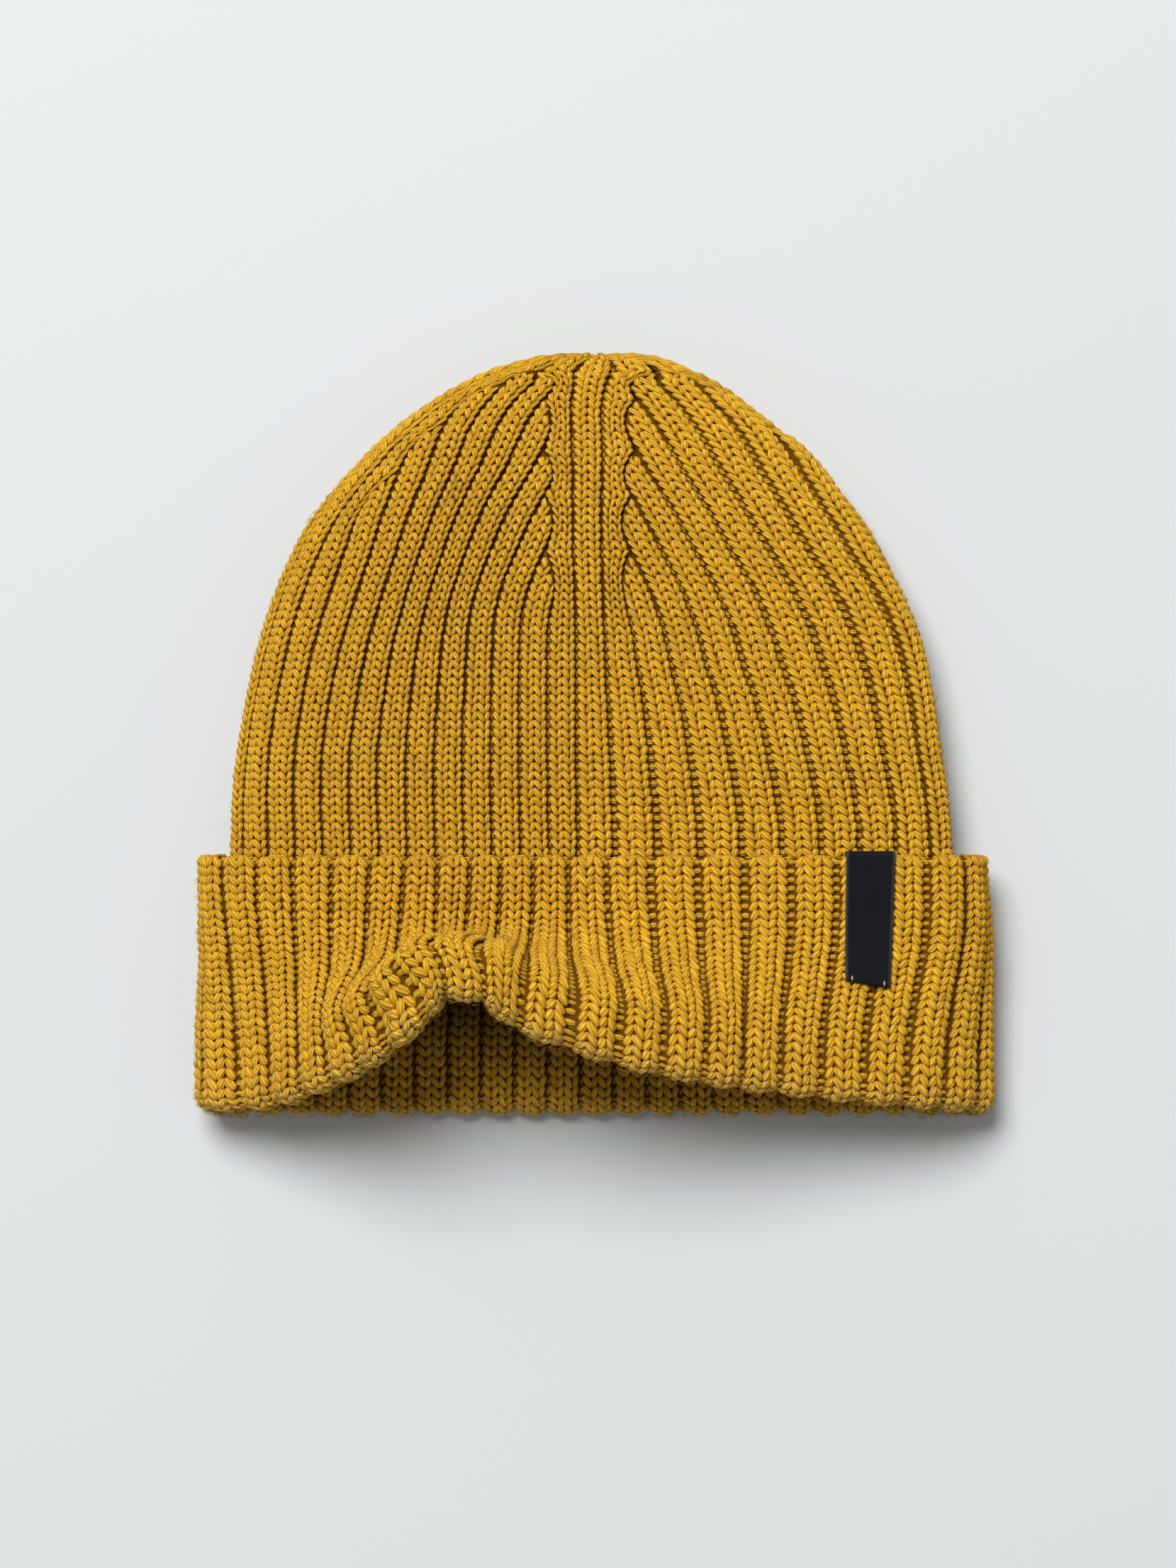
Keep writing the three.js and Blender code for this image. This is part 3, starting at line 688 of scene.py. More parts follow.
# %% Meshes from arrays
def make_mesh(name, points, faces, material, uv=None, values=None):
    """One object at the origin. uv has one pair for each vertex, and values names one number each."""
    mesh = bpy.data.meshes.new(name)
    corners = faces.shape[1]
    mesh.vertices.add(len(points))
    mesh.vertices.foreach_set("co", (points * MM).astype(np.float32).ravel())
    mesh.loops.add(faces.size)
    mesh.loops.foreach_set("vertex_index", faces.astype(np.int32).ravel())
    mesh.polygons.add(len(faces))
    mesh.polygons.foreach_set("loop_start", np.arange(0, faces.size, corners, dtype=np.int32))
    mesh.polygons.foreach_set("loop_total", np.full(len(faces), corners, dtype=np.int32))
    mesh.update()
    mesh.polygons.foreach_set("use_smooth", np.ones(len(faces), dtype=bool))
    if uv is not None:
        layer = mesh.uv_layers.new(name="yarn")
        layer.data.foreach_set("uv", uv[faces.ravel()].astype(np.float32).ravel())
    for key, numbers in (values or {}).items():
        attribute = mesh.attributes.new(key, "FLOAT", "POINT")
        attribute.data.foreach_set("value", numbers.astype(np.float32))
    mesh.materials.append(material)
    piece = bpy.data.objects.new(name, mesh)
    bpy.context.scene.collection.objects.link(piece)
    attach(piece, "root")
    return piece


# %% [markdown]
# Stitches. A rib is two knit columns wide, and each stitch of a column shows two legs: four legs to a
# rib, in two pairs. A pair is a V whose point faces back along the fabric, towards the row before it.

# %% Laying stitches
LEGS = 4
WIDEST_CROWN_LEG = 2.2
WIDEST_CUFF_LEG = 2.4
LEG_SHARE = 0.22
LEG_REACH = 0.66
SLANTED = {"lean": 0.6, "half_width": 0.52, "turn": math.radians(40)}
UPRIGHT = {"lean": 0.32, "half_width": 0.47, "turn": math.radians(22)}
LEG_DIVE = 0.75
LEG_TOP_DIVE = 0.5
LEG_HALF_THICKNESS = 0.85
OUTER_DROP = 0.7
OUTER_PLACE = 1.44
CREST_HEIGHT = -0.35
WIDE_GROWTH = 0.5
LEG_PLACES = np.array([-OUTER_PLACE, -0.5, 0.5, OUTER_PLACE])
LEAST_RIB = 2.4
JITTER = {"place": 0.05, "lean": 0.12, "reach": 0.05, "height": 0.06}
TWIST_STARTS = 4
# How much paler the handled hem's stitches turn: its real hairiness, and a painted sheen.
HEM_FUZZ_AND_SHEEN = 0.25
FUZZ_REACH = 5.5
# Painted light: the crown's stitches take only the paler tints, though crown and cuff are one yarn.
CROWN_PALENESS = 0.3
# Painted shade inside the mouth grows between these lengths past the hem, up the inner face.
DEEP_START = 8
DEEP_END = 31


def painted_shade_inside(sheet, length):
    """How much painted shade the yarn gets: 0 at the mouth, growing up the inner face."""
    if sheet is crown:
        return 0 * length
    return ease(length, HEM_END + DEEP_START, HEM_END + DEEP_END)


def leg_spacing(sheet, width):
    """A quarter of what the rib leaves beside its groove. Past the usual width a leg grows more
    slowly than its rib, which opens the groove."""
    even = width * LEG_SHARE
    usual = WIDEST_CROWN_LEG if sheet is crown else WIDEST_CUFF_LEG
    return np.minimum(even, usual + WIDE_GROWTH * np.maximum(even - usual, 0))


def lay_legs(sheet, row_starts, row_pitch, rib_numbers):
    """Four legs for every row and rib, without those whose middle isn't on the part that shows."""
    row = np.repeat(np.arange(len(row_starts)), len(rib_numbers) * LEGS)
    rib = np.tile(np.repeat(rib_numbers, LEGS), len(row_starts))
    leg = np.tile(np.arange(LEGS), len(row_starts) * len(rib_numbers))
    length = row_starts[row]
    width = sheet.rib_value(sheet.width, length, rib)
    spacing = leg_spacing(sheet, width)
    centre = 0.5 + LEG_PLACES[leg] * spacing / width
    low = sheet.rib_value(sheet.low, length, rib)
    high = sheet.rib_value(sheet.high, length, rib)
    keep = (centre > low) & (centre < high) & (width > LEAST_RIB)
    return rib[keep], leg[keep], length[keep], row_pitch[row][keep], width[keep], spacing[keep]


def leg_points(sheet, rib, leg, length, pitch, width, spacing):
    """Every vertex of every leg. The centre line leans outward from the V's point and dives at both
    ends, and its section is an ellipse. The yarn's twist makes one leg of each V more slanted than
    the other. Small random shifts keep the rows from looking stamped."""
    t, cosine, sine, size, around = LEG_SHAPE
    count = len(rib)
    side = np.where(leg % 2 == 0, -1.0, 1.0)
    jitter = rng.normal(0, 1, (4, count))
    centre = (LEG_PLACES[leg] + JITTER["place"] * jitter[0]) * spacing
    slanted = (leg % 2 == 0) == sheet.faces_outward
    lean_share, half_share, turn = [np.where(slanted, SLANTED[key], UPRIGHT[key]) for key in SLANTED]
    lean = side * spacing * lean_share * (1 + JITTER["lean"] * jitter[1])
    reach = pitch * LEG_REACH * (1 + JITTER["reach"] * jitter[2])
    along = (t - 0.5) * 2
    outer = (leg == 0) | (leg == LEGS - 1)
    bow = -LEG_DIVE * np.clip(-along, 0, 1) ** 2 - LEG_TOP_DIVE * np.clip(along, 0, 1) ** 2
    half_width = spacing * half_share
    offset = half_width[:, None] * size * cosine
    across = centre[:, None] + lean[:, None] * along + offset * np.cos(turn)[:, None]
    tilt = offset * (side * np.sin(turn))[:, None]
    height = CREST_HEIGHT - OUTER_DROP * outer[:, None] + bow + LEG_HALF_THICKNESS * size * sine
    place = (rib + 0.5)[:, None] + across / width[:, None]
    height = height + JITTER["height"] * jitter[3][:, None]
    points = sheet.place(length[:, None] + reach[:, None] * along - tilt, place, height)
    twist = t + rng.random(count)[:, None] * TWIST_STARTS
    uv = np.stack([np.broadcast_to(around, points.shape[:2]), twist], axis=2)
    on_hem = np.exp(-((length - HEM_MIDDLE) / FUZZ_REACH) ** 2)
    fuzz_and_sheen = HEM_FUZZ_AND_SHEEN * on_hem if sheet is cuff else np.zeros(count)
    # Painted light: the crown's tints start paler than the cuff's.
    palest = CROWN_PALENESS if sheet is crown else 0
    tint = palest + (1 - palest) * rng.random(count)
    each = {"tint": tint, "fuzz_and_sheen": fuzz_and_sheen, "deep": painted_shade_inside(sheet, length)}
    values = {key: np.repeat(numbers, len(t)) for key, numbers in each.items()}
    points[..., 2] = np.maximum(points[..., 2], 0)
    return points.reshape(-1, 3), uv.reshape(-1, 2), values


def repeat_faces(template, count, vertices):
    """The template's triangles once for each copy."""
    return (template[None] + (np.arange(count) * vertices)[:, None, None]).reshape(-1, 3)


def knit(name, sheet, row_starts, row_pitch, rib_numbers):
    """One piece of knitting over some ribs of a sheet."""
    legs = lay_legs(sheet, row_starts, row_pitch, rib_numbers)
    points, uv, values = leg_points(sheet, *legs)
    faces = repeat_faces(LEG_FACES, len(legs[0]), len(LEG_SHAPE[0]))
    if not sheet.faces_outward:
        faces = faces[:, ::-1]
    piece = make_mesh(name, points, faces, yarn, uv=uv, values=values)
    print(name, len(legs[0]), "legs,", len(faces), "triangles")
    return piece


# %% [markdown]
# The rows are one knit row apart: 2.35 mm in the crown, and longer towards the hem, where the
# stitches are stretched.

# %% Knit the crown and the cuff
CROWN_ROW = 2.35
CUFF_ROW = 2.4
HEM_ROW = 2.85
HEM_STRETCH = (30, 62)
INSIDE_REACH = 42
CROWN_START = -9


def even_rows(start, end, pitch):
    rows = np.arange(start, end, pitch)
    return rows, np.full(len(rows), pitch)


def cuff_rows():
    """Row by row, each pitch between the cuff's and the hem's by its place along the fabric."""
    starts = [2.0]
    pitches = []
    while starts[-1] < HEM_END + INSIDE_REACH:
        stretch = ease(starts[-1], *HEM_STRETCH)
        pitches.append(CUFF_ROW + (HEM_ROW - CUFF_ROW) * stretch)
        starts.append(starts[-1] + pitches[-1])
    return np.array(starts[:-1]), np.array(pitches)


crown_rows = even_rows(CROWN_START, crown.lengths[-1] - 1, CROWN_ROW)
quarter_names = ("left_front", "right_front", "right_back", "left_back")
quarters = zip(quarter_names, np.arange(RIBS).reshape(4, QUARTER))
pieces = [knit("crown_knit_" + name, crown, *crown_rows, ribs) for name, ribs in quarters]
rows, pitches = cuff_rows()
outside = rows < HEM_START + 8
for name, ribs in zip(("front", "back"), np.arange(RIBS).reshape(2, 2 * QUARTER)):
    pieces.append(knit("cuff_knit_" + name, cuff, rows[outside], pitches[outside], ribs))
    pieces.append(knit("cuff_inside_" + name, cuff, rows[~outside], pitches[~outside], ribs))

# %% [markdown]
# In the wider grooves the purl side of the knitting shows as small bumps that lie across the fabric.
# They could be a bump in the ground's material, but on the hem they stand out, so they are real.

# %% Purl bumps
BEAD_FACES = capsule_faces(3)
BEAD_SHAPE = capsule_shape((0.14, 0.5, 0.86), (0.65, 1.0, 0.65))
PURL_HEIGHT = -3.0
PURL_FADE = 0.6
# Painted shade: the purl bumps take only the darker share of the yarn's tints, for the shade of the
# grooves they lie in.
PURL_SHADE_TINT = 0.4
PURL_HALF_THICKNESS = 0.75
PURL_OVERLAP = 0.9
PURL_HALF_WIDTH = 0.38
LEAST_GROOVE = 0.9
FULL_GROOVE = 2.0
HEM_REACH = 9
HEM_PURL_RISE = 1.4
LEAST_HEM = 0.4
WHOLE_RIB = 0.98
BEAD_SLANT = 0.25
GROOVE_OFFSET = 0.001  # keeps a bead clear of the seam between two ribs' numbers


def beads(name, sheet, length, rib, half_length, half_width, half_thickness, height, tint_share=1):
    """Capsules lying across the fabric. The arguments from length to height have one number each."""
    t, cosine, sine, size, around = BEAD_SHAPE
    count = len(length)
    width = sheet.rib_value(sheet.width, length, np.floor(rib).astype(int))
    across = (t - 0.5) * 2 * half_length[:, None]
    along = half_width[:, None] * size * cosine
    lift = height[:, None] + half_thickness[:, None] * size * sine
    slant = BEAD_SLANT * (rng.random(count) - 0.5)[:, None] * across
    points = sheet.place(length[:, None] + along + slant, rib[:, None] + across / width[:, None], lift)
    faces = repeat_faces(BEAD_FACES, count, len(t))
    if sheet.faces_outward:
        faces = faces[:, ::-1]
    twist = t + rng.random(count)[:, None] * TWIST_STARTS
    uv = np.stack([np.broadcast_to(around, lift.shape), twist], axis=2)
    each = {"tint": tint_share * rng.random(count), "deep": painted_shade_inside(sheet, length)}
    values = {key: np.repeat(numbers, len(t)) for key, numbers in each.items()}
    piece = make_mesh(name, points.reshape(-1, 3), faces, yarn, uv=uv.reshape(-1, 2), values=values)
    print(name, count, "beads,", len(faces), "triangles")
    return piece


def near_hem(length):
    """1 on the hem's fold, fading to 0 on both sides of it as exp(-x²)."""
    return np.exp(-((length - HEM_MIDDLE) / HEM_REACH) ** 2)


def purl_beads(name, sheet, row_starts, row_pitch):
    """One bead for each row of each groove that is wide enough, as wide as what the legs leave. On
    the hem the fabric is stretched, so there every groove shows them, and higher up."""
    length, rib = [grid.ravel() for grid in np.meshgrid(row_starts, np.arange(RIBS), indexing="ij")]
    pitch = np.repeat(row_pitch, RIBS)
    groove = 0
    whole = 1
    for beside in (rib, rib - 1):
        width = sheet.rib_value(sheet.width, length, beside)
        groove = groove + (width - LEGS * leg_spacing(sheet, width)) / 2
        whole = np.minimum(whole, sheet.rib_value(sheet.high - sheet.low, length, beside))
    at_hem = near_hem(length) if sheet is cuff else np.zeros(len(length))
    keep = ((groove > LEAST_GROOVE) | (at_hem > LEAST_HEM)) & (whole > WHOLE_RIB)
    length, rib, pitch, groove, at_hem = [each[keep] for each in (length, rib, pitch, groove, at_hem)]
    narrow = 1 - ease(groove, LEAST_GROOVE, FULL_GROOVE)
    height = PURL_HEIGHT - PURL_FADE * narrow + HEM_PURL_RISE * at_hem
    thickness = np.full(len(length), PURL_HALF_THICKNESS)
    return beads(name, sheet, length, rib + GROOVE_OFFSET, groove / 2 + PURL_OVERLAP,
                 PURL_HALF_WIDTH * pitch, thickness, height, PURL_SHADE_TINT)


pieces.append(purl_beads("crown_purls", crown, *crown_rows))
pieces.append(purl_beads("cuff_purls", cuff, rows, pitches))

# %% [markdown]
# The cast-on edge is the first row that was knitted. On the real hat it is a chain of loops along the
# cuff's free top edge, which follows the ribs in and out. Beads laid end to end make it here.

# %% The cast-on edge
CHAIN_DOWN = np.array([0.9, 0.25])
CHAIN_HEIGHT = np.array([-1.2, -2.5])
CHAIN_SHIFT = 0.3
CHAIN_SHARE = 0.6
CHAIN_HALF_WIDTH = 0.85
CHAIN_HALF_THICKNESS = 0.95
CHAIN_OUTER_DROP = 0.7


def cast_on_edge():
    """Two chains of four beads to a rib, one in front and one over the edge."""
    grids = np.meshgrid(np.arange(RIBS), np.arange(LEGS), (0, 1), indexing="ij")
    rib, leg, chain = [grid.ravel() for grid in grids]
    outer = (leg == 0) | (leg == LEGS - 1)
    length = CHAIN_DOWN[chain] + EDGE_SCALLOP * outer
    width = cuff.rib_value(cuff.width, length, rib)
    place = rib + 0.5 + (leg - 1.5 + CHAIN_SHIFT * chain) * LEG_SHARE
    height = CHAIN_HEIGHT[chain] - CHAIN_OUTER_DROP * outer
    half = width * LEG_SHARE * CHAIN_SHARE
    return beads("cuff_cast_on", cuff, length, place, half, np.full(len(rib), CHAIN_HALF_WIDTH),
                 np.full(len(rib), CHAIN_HALF_THICKNESS), height)


pieces.append(cast_on_edge())

# %% [markdown]
# Wool is never clean: single fibres stand off the yarn everywhere, and most of all on the handled
# hem. Each is a hair-thin curved tube in the fabric's own coordinates, so that none floats away.

# %% Stray fibres
FIBRE_FACES = capsule_faces(3, sides=3)
FIBRE_SHAPE = capsule_shape((0.2, 0.5, 0.8), (1.0, 1.0, 1.0), sides=3)
FIBRE_RADIUS = 0.05
FIBRE_LENGTHS = (1.2, 4)
FIBRE_LIFT = (0.2, 0.9)
FIBRE_BASE = 0.25
FIBRE_SINK = 1.2
# The stray fibres' paleness: partly their own look, partly a painted sheen.
FIBRE_PALENESS = 0.3
FIBRE_BEND = 0.9
FIBRE_GROOVE = 0.7
LEAST_WIDTH = 3
LABEL_MARGIN = 0.003


def stray_fibres(name, sheet, count, first, last):
    """Fibres between two places along the fabric, none of them on the label. Over its length a fibre
    turns by a random bend, and its height over the stitches rises and falls as sin of half a turn."""
    t, cosine, sine, size, around = FIBRE_SHAPE
    length = rng.uniform(first, last, count)
    rib = rng.uniform(0, RIBS, count)
    at = sheet.place(length, rib, 0 * length) * MM
    on_label = (at[:, 0] > label_box[0].x - LABEL_MARGIN) & (at[:, 1] > label_box[0].y - LABEL_MARGIN)
    on_label &= (at[:, 0] < label_box[1].x + LABEL_MARGIN) & (at[:, 2] > label_box[0].z / 2)
    length, rib = length[~on_label], rib[~on_label]
    count = len(length)
    reach = rng.uniform(*FIBRE_LENGTHS, count)[:, None]
    heading = rng.uniform(0, 2 * np.pi, count)[:, None] + rng.normal(0, FIBRE_BEND, count)[:, None] * t
    lift = rng.uniform(*FIBRE_LIFT, count)[:, None] * np.sin(np.pi * t)
    width = sheet.rib_value(sheet.width, length, rib.astype(int))[:, None]
    round_ways = FIBRE_RADIUS * size * cosine
    across = reach * (t - 0.5) * np.cos(heading) - round_ways * np.sin(heading)
    along = reach * (t - 0.5) * np.sin(heading) + round_ways * np.cos(heading)
    place = rib[:, None] + across / np.maximum(width, LEAST_WIDTH)
    groove = np.abs(place % 1 - 0.5) * 2
    height = FIBRE_BASE - FIBRE_SINK * ease(groove, FIBRE_GROOVE, 1) + lift + FIBRE_RADIUS * size * sine
    points = sheet.place(length[:, None] + along, place, height)
    points[..., 2] = np.maximum(points[..., 2], 0)
    faces = repeat_faces(FIBRE_FACES, count, len(t))
    values = {"tint": np.ones(count * len(t)), "fuzz_and_sheen": np.full(count * len(t), FIBRE_PALENESS)}
    uv = np.stack([np.broadcast_to(around, height.shape), np.broadcast_to(t, height.shape)], axis=2)
    piece = make_mesh(name, points.reshape(-1, 3), faces, yarn, uv=uv.reshape(-1, 2), values=values)
    print(name, count, "fibres,", len(faces), "triangles")
    return piece


pieces.append(stray_fibres("crown_fibres", crown, 2300, 0, 0.72 * crown.lengths[-1]))
pieces.append(stray_fibres("cuff_fibres", cuff, 2000, 1, HEM_END))
pieces.append(stray_fibres("cuff_hem_fibres", cuff, 1500, HEM_START - 3, HEM_END + 2))

# %% [markdown]
# The ground behind the stitches: the same sheets, sunk below the legs and deeper in the grooves.

# %% Ground surfaces
GROUND_CREST = -1.45
GROUND_GROOVE = -3.5
GROUND_GROOVE_START = 0.6
HEM_FILL = 1.3
WALL = 2.4


def ground_surface(name, sheet, lengths, columns_per_rib=6, depth=0.0):
    """A ribbed closed tube of quads. It is deepest half way between two ribs."""
    rib = np.arange(RIBS * columns_per_rib) / columns_per_rib
    groove = np.abs(rib % 1 - 0.5) * 2
    grid_length, grid_rib = np.meshgrid(lengths, rib, indexing="ij")
    sunk = GROUND_GROOVE - GROUND_CREST + HEM_FILL * (near_hem(grid_length) if sheet is cuff else 0)
    height = GROUND_CREST + sunk * ease(groove, GROUND_GROOVE_START, 1) - depth
    points = sheet.place(grid_length, grid_rib, height)
    points[..., 2] = np.maximum(points[..., 2], 0)
    rows, columns = grid_rib.shape
    i, j = np.meshgrid(np.arange(rows - 1), np.arange(columns), indexing="ij")
    near = i * columns + j
    far = i * columns + (j + 1) % columns
    faces = np.stack([near, far, far + columns, near + columns], axis=2).reshape(-1, 4)
    if not sheet.faces_outward:
        faces = faces[:, ::-1]
    piece = make_mesh(name, points.reshape(-1, 3), faces, ground,
                      values={"deep": painted_shade_inside(sheet, grid_length.ravel())})
    print(name, len(faces), "quads")
    return piece


first, last = crown.lengths[0], crown.lengths[-1]
inside_last = crown.lengths[-12]
pieces.append(ground_surface("crown_ground", crown, np.linspace(first, last, 70)))
pieces.append(ground_surface("crown_inside", crown, np.linspace(first, inside_last, 50), depth=WALL))
pieces.append(ground_surface("cuff_ground", cuff, np.linspace(0.8, cuff.lengths[-1], 84)))

# %% [markdown]
# Inside the real hat the cuff's inner layer runs on into the crown as one fabric. The two sheets end
# apart here, and light would come in through the gap, so a plain closed ring carries one to the other.

# %% The join inside
JOIN_ROWS = 7
JOIN_HALF = 1.1


def join_band():
    """A closed ring whose section has four corners: the middle of the cuff's inner layer and of the
    crown's lower edge, each moved out and in by half of the ring's thickness."""
    lower = cuff.points[-1 - JOIN_ROWS] - cuff.normals[-1 - JOIN_ROWS] * KNIT / 2
    upper = crown.points[JOIN_ROWS] - crown.normals[JOIN_ROWS] * KNIT / 2
    print("join from", lower[0].round(1), "to", upper[0].round(1), "longest",
          np.linalg.norm(upper - lower, axis=1).max().round(1), "mm")
    out = crown.normals[JOIN_ROWS] * JOIN_HALF
    rings = np.stack([lower + out, upper + out, upper - out, lower - out])
    columns = rings.shape[1]
    i, j = np.meshgrid(np.arange(4), np.arange(columns), indexing="ij")
    here, above, beside = i * columns, (i + 1) % 4 * columns, (j + 1) % columns
    faces = np.stack([here + j, here + beside, above + beside, above + j], axis=2).reshape(-1, 4)
    points = rings.reshape(-1, 3)
    corners = points[faces]
    if np.einsum("ij,ij->", corners[:, 0], np.cross(corners[:, 1], corners[:, 2])) < 0:
        faces = faces[:, ::-1]
    points[:, 2] = np.maximum(points[:, 2], 0)
    # The ring gets the full painted shade of the mouth's inside.
    return make_mesh("cuff_join", points, faces, ground, values={"deep": np.ones(len(points))})


pieces.append(join_band())

# %% [markdown]
# The label is a strip of black satin weave, left bare. Its threads are far too fine to model, so two
# crossed waves on its UV map make a bump, and its two selvedges are a little paler.

# %% The label's material
def label_material():
    """Satin weave: a fine grid of threads as bump, and paler threads along both selvedges."""
    nodes = Nodes("label_weave")
    uv = nodes.add("ShaderNodeUVMap", uv_map="yarn")
    weave = nodes.value(nodes.add("ShaderNodeTexWave", wave_type="BANDS", bands_direction="Y"),
                        Scale=38, Distortion=0.4, Detail=1)
    nodes.link(uv.outputs["UV"], weave.inputs["Vector"])
    warp = nodes.value(nodes.add("ShaderNodeTexWave", wave_type="BANDS", bands_direction="X"),
                       Scale=16, Distortion=0.4, Detail=1)
    nodes.link(uv.outputs["UV"], warp.inputs["Vector"])
    both = nodes.add("ShaderNodeMath", operation="MULTIPLY")
    nodes.link(weave.outputs["Fac"], both.inputs[0])
    nodes.link(warp.outputs["Fac"], both.inputs[1])
    edge = nodes.add("ShaderNodeAttribute", attribute_name="selvedge")
    colour = nodes.add("ShaderNodeMix", data_type="RGBA")
    colour.inputs["A"].default_value = LABEL_COLOUR
    colour.inputs["B"].default_value = SELVEDGE_COLOUR
    nodes.link(edge.outputs["Fac"], colour.inputs["Factor"])
    nodes.link(colour.outputs["Result"], nodes.shader.inputs["Base Color"])
    bump = nodes.value(nodes.add("ShaderNodeBump"), Strength=0.5, Distance=0.00015)
    nodes.link(both.outputs["Value"], bump.inputs["Height"])
    nodes.link(bump.outputs["Normal"], nodes.shader.inputs["Normal"])
    nodes.shader.inputs["Roughness"].default_value = 0.75
    nodes.shader.inputs["Specular IOR Level"].default_value = 0.15
    return nodes.material


label_weave = label_material()
print("material:", label_weave.name)

# %% [markdown]
# The strip lies on the cuff's ribs, turns over the cast-on edge and ends behind it. It could be bent by
# a modifier, but reading the cuff's own sheet under it makes it lie on the ribs wherever they run.

# %% The label's strip
LABEL_WIDTH = 13.4
LABEL_FRONT = 37.8
LABEL_BACK = 12
LABEL_THICKNESS = 0.7
LABEL_CLEARANCE = 0.4
LABEL_UNDERSIDE = 0.1
LABEL_FROM_SIDE = 33
LABEL_CENTRE = CUFF_WIDTH / 2 - LABEL_FROM_SIDE
LABEL_LEAN = 1
LABEL_SLANT = 0.021
LABEL_TAPER = 0.08
LABEL_SAG = 0.12
LABEL_RIBS = (12.0, 21.5)
SELVEDGE_START = 0.98
SELVEDGE_SHARE = 0.5


def rib_at_x(length, x, halvings=18):
    """The place round the cuff's front at which its outer face reaches x. The ribs between which it
    lies are halved again and again, as x grows with the rib."""
    low, high = [np.full(x.shape, rib) for rib in LABEL_RIBS]
    for _ in range(halvings):
        middle = (low + high) / 2
        before = cuff.place(length, middle, 0 * middle)[..., 0] < x
        low, high = np.where(before, middle, low), np.where(before, high, middle)
    return middle


def thin_sheet_faces(rows, columns):
    """Quads of a closed thin sheet: the upper grid, the same grid turned over, and the rim between."""
    i, j = np.meshgrid(np.arange(rows - 1), np.arange(columns - 1), indexing="ij")
    a = i * columns + j
    top = np.stack([a, a + 1, a + columns + 1, a + columns], axis=2).reshape(-1, 4)
    lower = rows * columns
    rim = np.concatenate([np.arange(columns), np.arange(1, rows) * columns + columns - 1,
                          (rows - 1) * columns + np.arange(columns - 2, -1, -1),
                          np.arange(rows - 2, 0, -1) * columns])
    next_rim = np.roll(rim, -1)
    side = np.stack([next_rim, rim, rim + lower, next_rim + lower], axis=1)
    return np.concatenate([top, top[:, ::-1] + lower, side])


def make_label(across_steps=14, front_steps=34, turn_steps=8, back_steps=8):
    """Rows run from the lower end up the front, round the edge by an ellipse and down behind. Returns
    the piece, and the grid of its upper side."""
    u = np.linspace(-1, 1, across_steps + 1)
    front = np.linspace(LABEL_FRONT, 0, front_steps + 1)
    back = np.linspace(0, LABEL_BACK, back_steps + 1)[1:]
    turn = np.linspace(0, np.pi, turn_steps + 2)[1:-1]
    length = np.concatenate([front, np.zeros(turn_steps), back])
    depth = np.concatenate([0 * front, KNIT / 2 * (1 - np.cos(turn)), np.full(back_steps, KNIT)])
    grid_length, grid_u = np.meshgrid(length, u, indexing="ij")
    down = np.where(depth == 0, length / LABEL_FRONT, 0)[:, None]
    grid_length = grid_length * np.where(depth[:, None] == 0, 1 + LABEL_SLANT * grid_u, 1)
    half = LABEL_WIDTH / 2 * (1 - LABEL_TAPER * down)
    x = LABEL_CENTRE - LABEL_LEAN * down + grid_u * half + SHIFT[0]
    rib = rib_at_x(grid_length, x)
    row = cuff.rows(grid_length)
    middle = sample_grid(cuff.points, row, rib * COLUMNS_PER_RIB)
    normal = sample_grid(cuff.normals, row, rib * COLUMNS_PER_RIB)
    middle = middle - normal * depth[:, None, None]
    sag = LABEL_SAG * np.cos(2 * np.pi * rib) * (depth == 0)[:, None]
    along = np.gradient(middle, axis=0)
    around = np.gradient(middle, axis=1)
    out = np.cross(along, around)
    out /= np.linalg.norm(out, axis=2, keepdims=True)
    out *= np.sign((out[0] * normal[0]).sum())
    low = middle + out * (LABEL_CLEARANCE + LABEL_UNDERSIDE - sag)[..., None]
    high = middle + out * (LABEL_CLEARANCE + LABEL_THICKNESS - sag)[..., None]
    rows, columns = rib.shape
    points = np.concatenate([high.reshape(-1, 3), low.reshape(-1, 3)])
    uv = np.stack([np.tile(u * LABEL_WIDTH / 20, rows), np.repeat(length / 10, columns)], axis=1)
    edge = np.where(np.abs(np.tile(u, rows)) > SELVEDGE_START, SELVEDGE_SHARE, 0.0)
    piece = make_mesh("label_strip", points, thin_sheet_faces(rows, columns), label_weave,
                      uv=np.tile(uv, (2, 1)), values={"selvedge": np.tile(edge, 2)})
    print(piece.name, len(piece.data.polygons), "quads")
    return piece, high


label_piece, label_grid = make_label()

# %% [markdown]
# On the real hat two short pale stitches hold the label's lower corners. The bead that makes the purl
# bumps serves again, laid on the strip's own directions.

# %% The label's stitches
STITCH_ROW = 1
STITCH_COLUMNS = [2, 12]
STITCH_LENGTH = 1.5
STITCH_RADIUS = 0.25
THREAD_COLOUR = (0.55, 0.47, 0.25, 1)


def unit(steps):
    """Steps made 1 long."""
    return steps / np.linalg.norm(steps, axis=-1, keepdims=True)


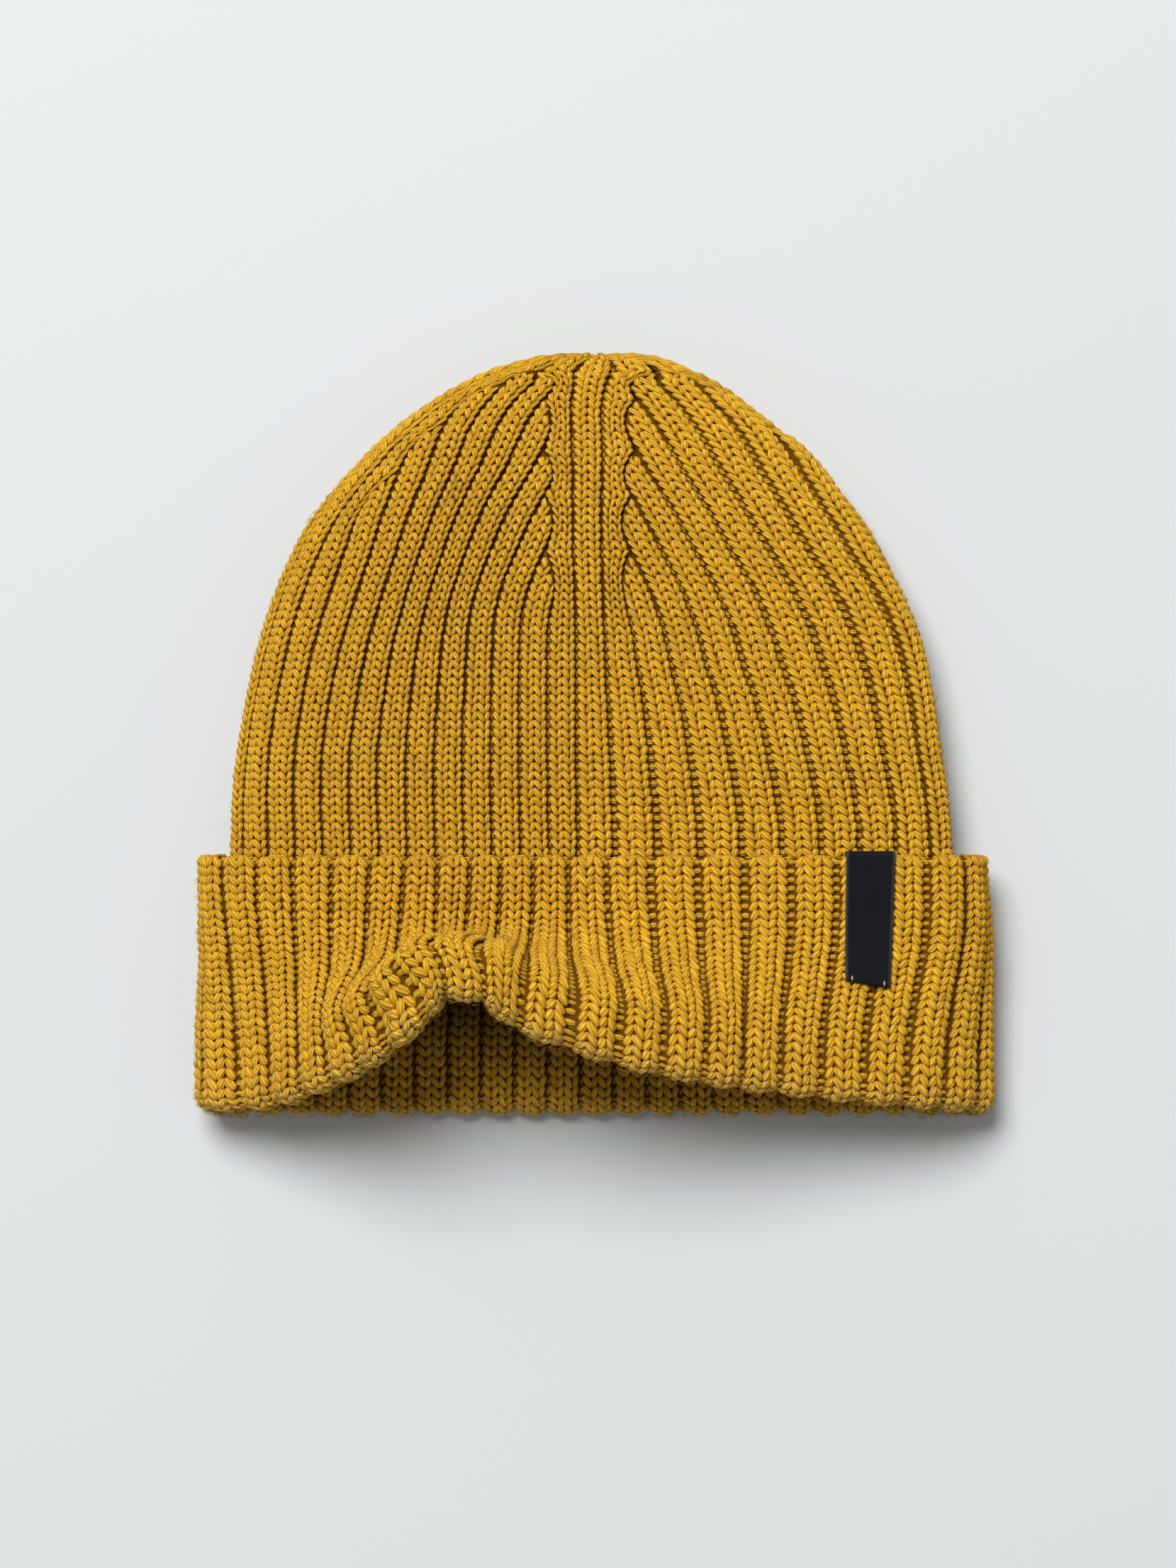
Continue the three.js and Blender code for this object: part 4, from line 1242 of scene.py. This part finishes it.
def label_stitches():
    """Each point is the stitch's middle + its share of the length along the strip + the radius round
    it, as cos across the strip and sin out of it."""
    t, cosine, sine, size, _ = BEAD_SHAPE
    end = label_grid[0]
    at = label_grid[STITCH_ROW, STITCH_COLUMNS][:, None]
    along = unit(end[STITCH_COLUMNS] - label_grid[1, STITCH_COLUMNS])[:, None]
    across = unit(end[np.array(STITCH_COLUMNS) + 1] - end[STITCH_COLUMNS])[:, None]
    up = np.cross(along, across)
    up *= np.sign(up[..., 2:])
    along_share = ((t - 0.5) * STITCH_LENGTH)[:, None]
    out = across * cosine[:, None] + up * sine[:, None]
    points = at + along * along_share + STITCH_RADIUS * size[:, None] * out
    thread = Nodes("label_thread")
    thread.shader.inputs["Base Color"].default_value = THREAD_COLOUR
    thread.shader.inputs["Roughness"].default_value = 0.6
    faces = repeat_faces(BEAD_FACES, len(STITCH_COLUMNS), len(t))
    return make_mesh("label_stitches", points.reshape(-1, 3), faces, thread.material)


stitch_piece = label_stitches()
print(stitch_piece.name, len(stitch_piece.data.polygons), "triangles")

# %% [markdown]
# The pieces stand for the solids, whose meshes are hidden. Everything rides
# on the one body, root.

# %% Hide the solids
for piece in pieces:
    node = "crown" if piece.name.startswith("crown") else "cuff"
    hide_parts(node)
for piece in (label_piece, stitch_piece):
    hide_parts("label")
print(len(pieces) + 2, "pieces")

# %% [markdown]
# A plain pale floor and soft light: one large round area light, high up on the crown's side and a
# little to the left, and an even pale world that fills the shadows.

# %% Floor and light
FLOOR_COLOUR = (0.60, 0.62, 0.625, 1)
FLOOR_HALF = 4.0
WORLD_COLOUR = (0.98, 0.99, 1.0, 1)
WORLD_STRENGTH = 0.3
KEY_PLACE = (-0.8, 1.7, 3.2)
KEY_SIZE = 1.9
KEY_WATTS = 166


def make_floor():
    """One square at z = 0, much larger than the picture."""
    floor = bpy.data.objects.new("floor", bpy.data.meshes.new("floor"))
    half = FLOOR_HALF
    corners = [(-half, -half, 0), (half, -half, 0), (half, half, 0), (-half, half, 0)]
    floor.data.from_pydata(corners, [], [(0, 1, 2, 3)])
    nodes = Nodes("floor")
    nodes.shader.inputs["Base Color"].default_value = FLOOR_COLOUR
    nodes.shader.inputs["Roughness"].default_value = 0.9
    floor.data.materials.append(nodes.material)
    bpy.context.scene.collection.objects.link(floor)
    return floor


def look_at(location):
    """The turn that points a light at the hat from where it is."""
    x, y, z = location
    return (math.atan2(math.hypot(x, y), z), 0, math.atan2(x, -y))


def area_light(name, location, size, watts):
    """A round light that faces the hat."""
    data = bpy.data.lights.new(name, "AREA")
    data.shape = "DISK"
    data.size = size
    data.energy = watts
    light = bpy.data.objects.new(name, data)
    light.location = location
    light.rotation_euler = look_at(location)
    bpy.context.scene.collection.objects.link(light)
    return light


world = bpy.data.worlds.new("studio")
world.use_nodes = True
sky = world.node_tree.nodes["Background"]
sky.inputs["Color"].default_value = WORLD_COLOUR
sky.inputs["Strength"].default_value = WORLD_STRENGTH
bpy.context.scene.world = world
make_floor()
area_light("key", KEY_PLACE, KEY_SIZE, KEY_WATTS)
bpy.context.scene.view_settings.view_transform = "Standard"
print("lights and floor ready")
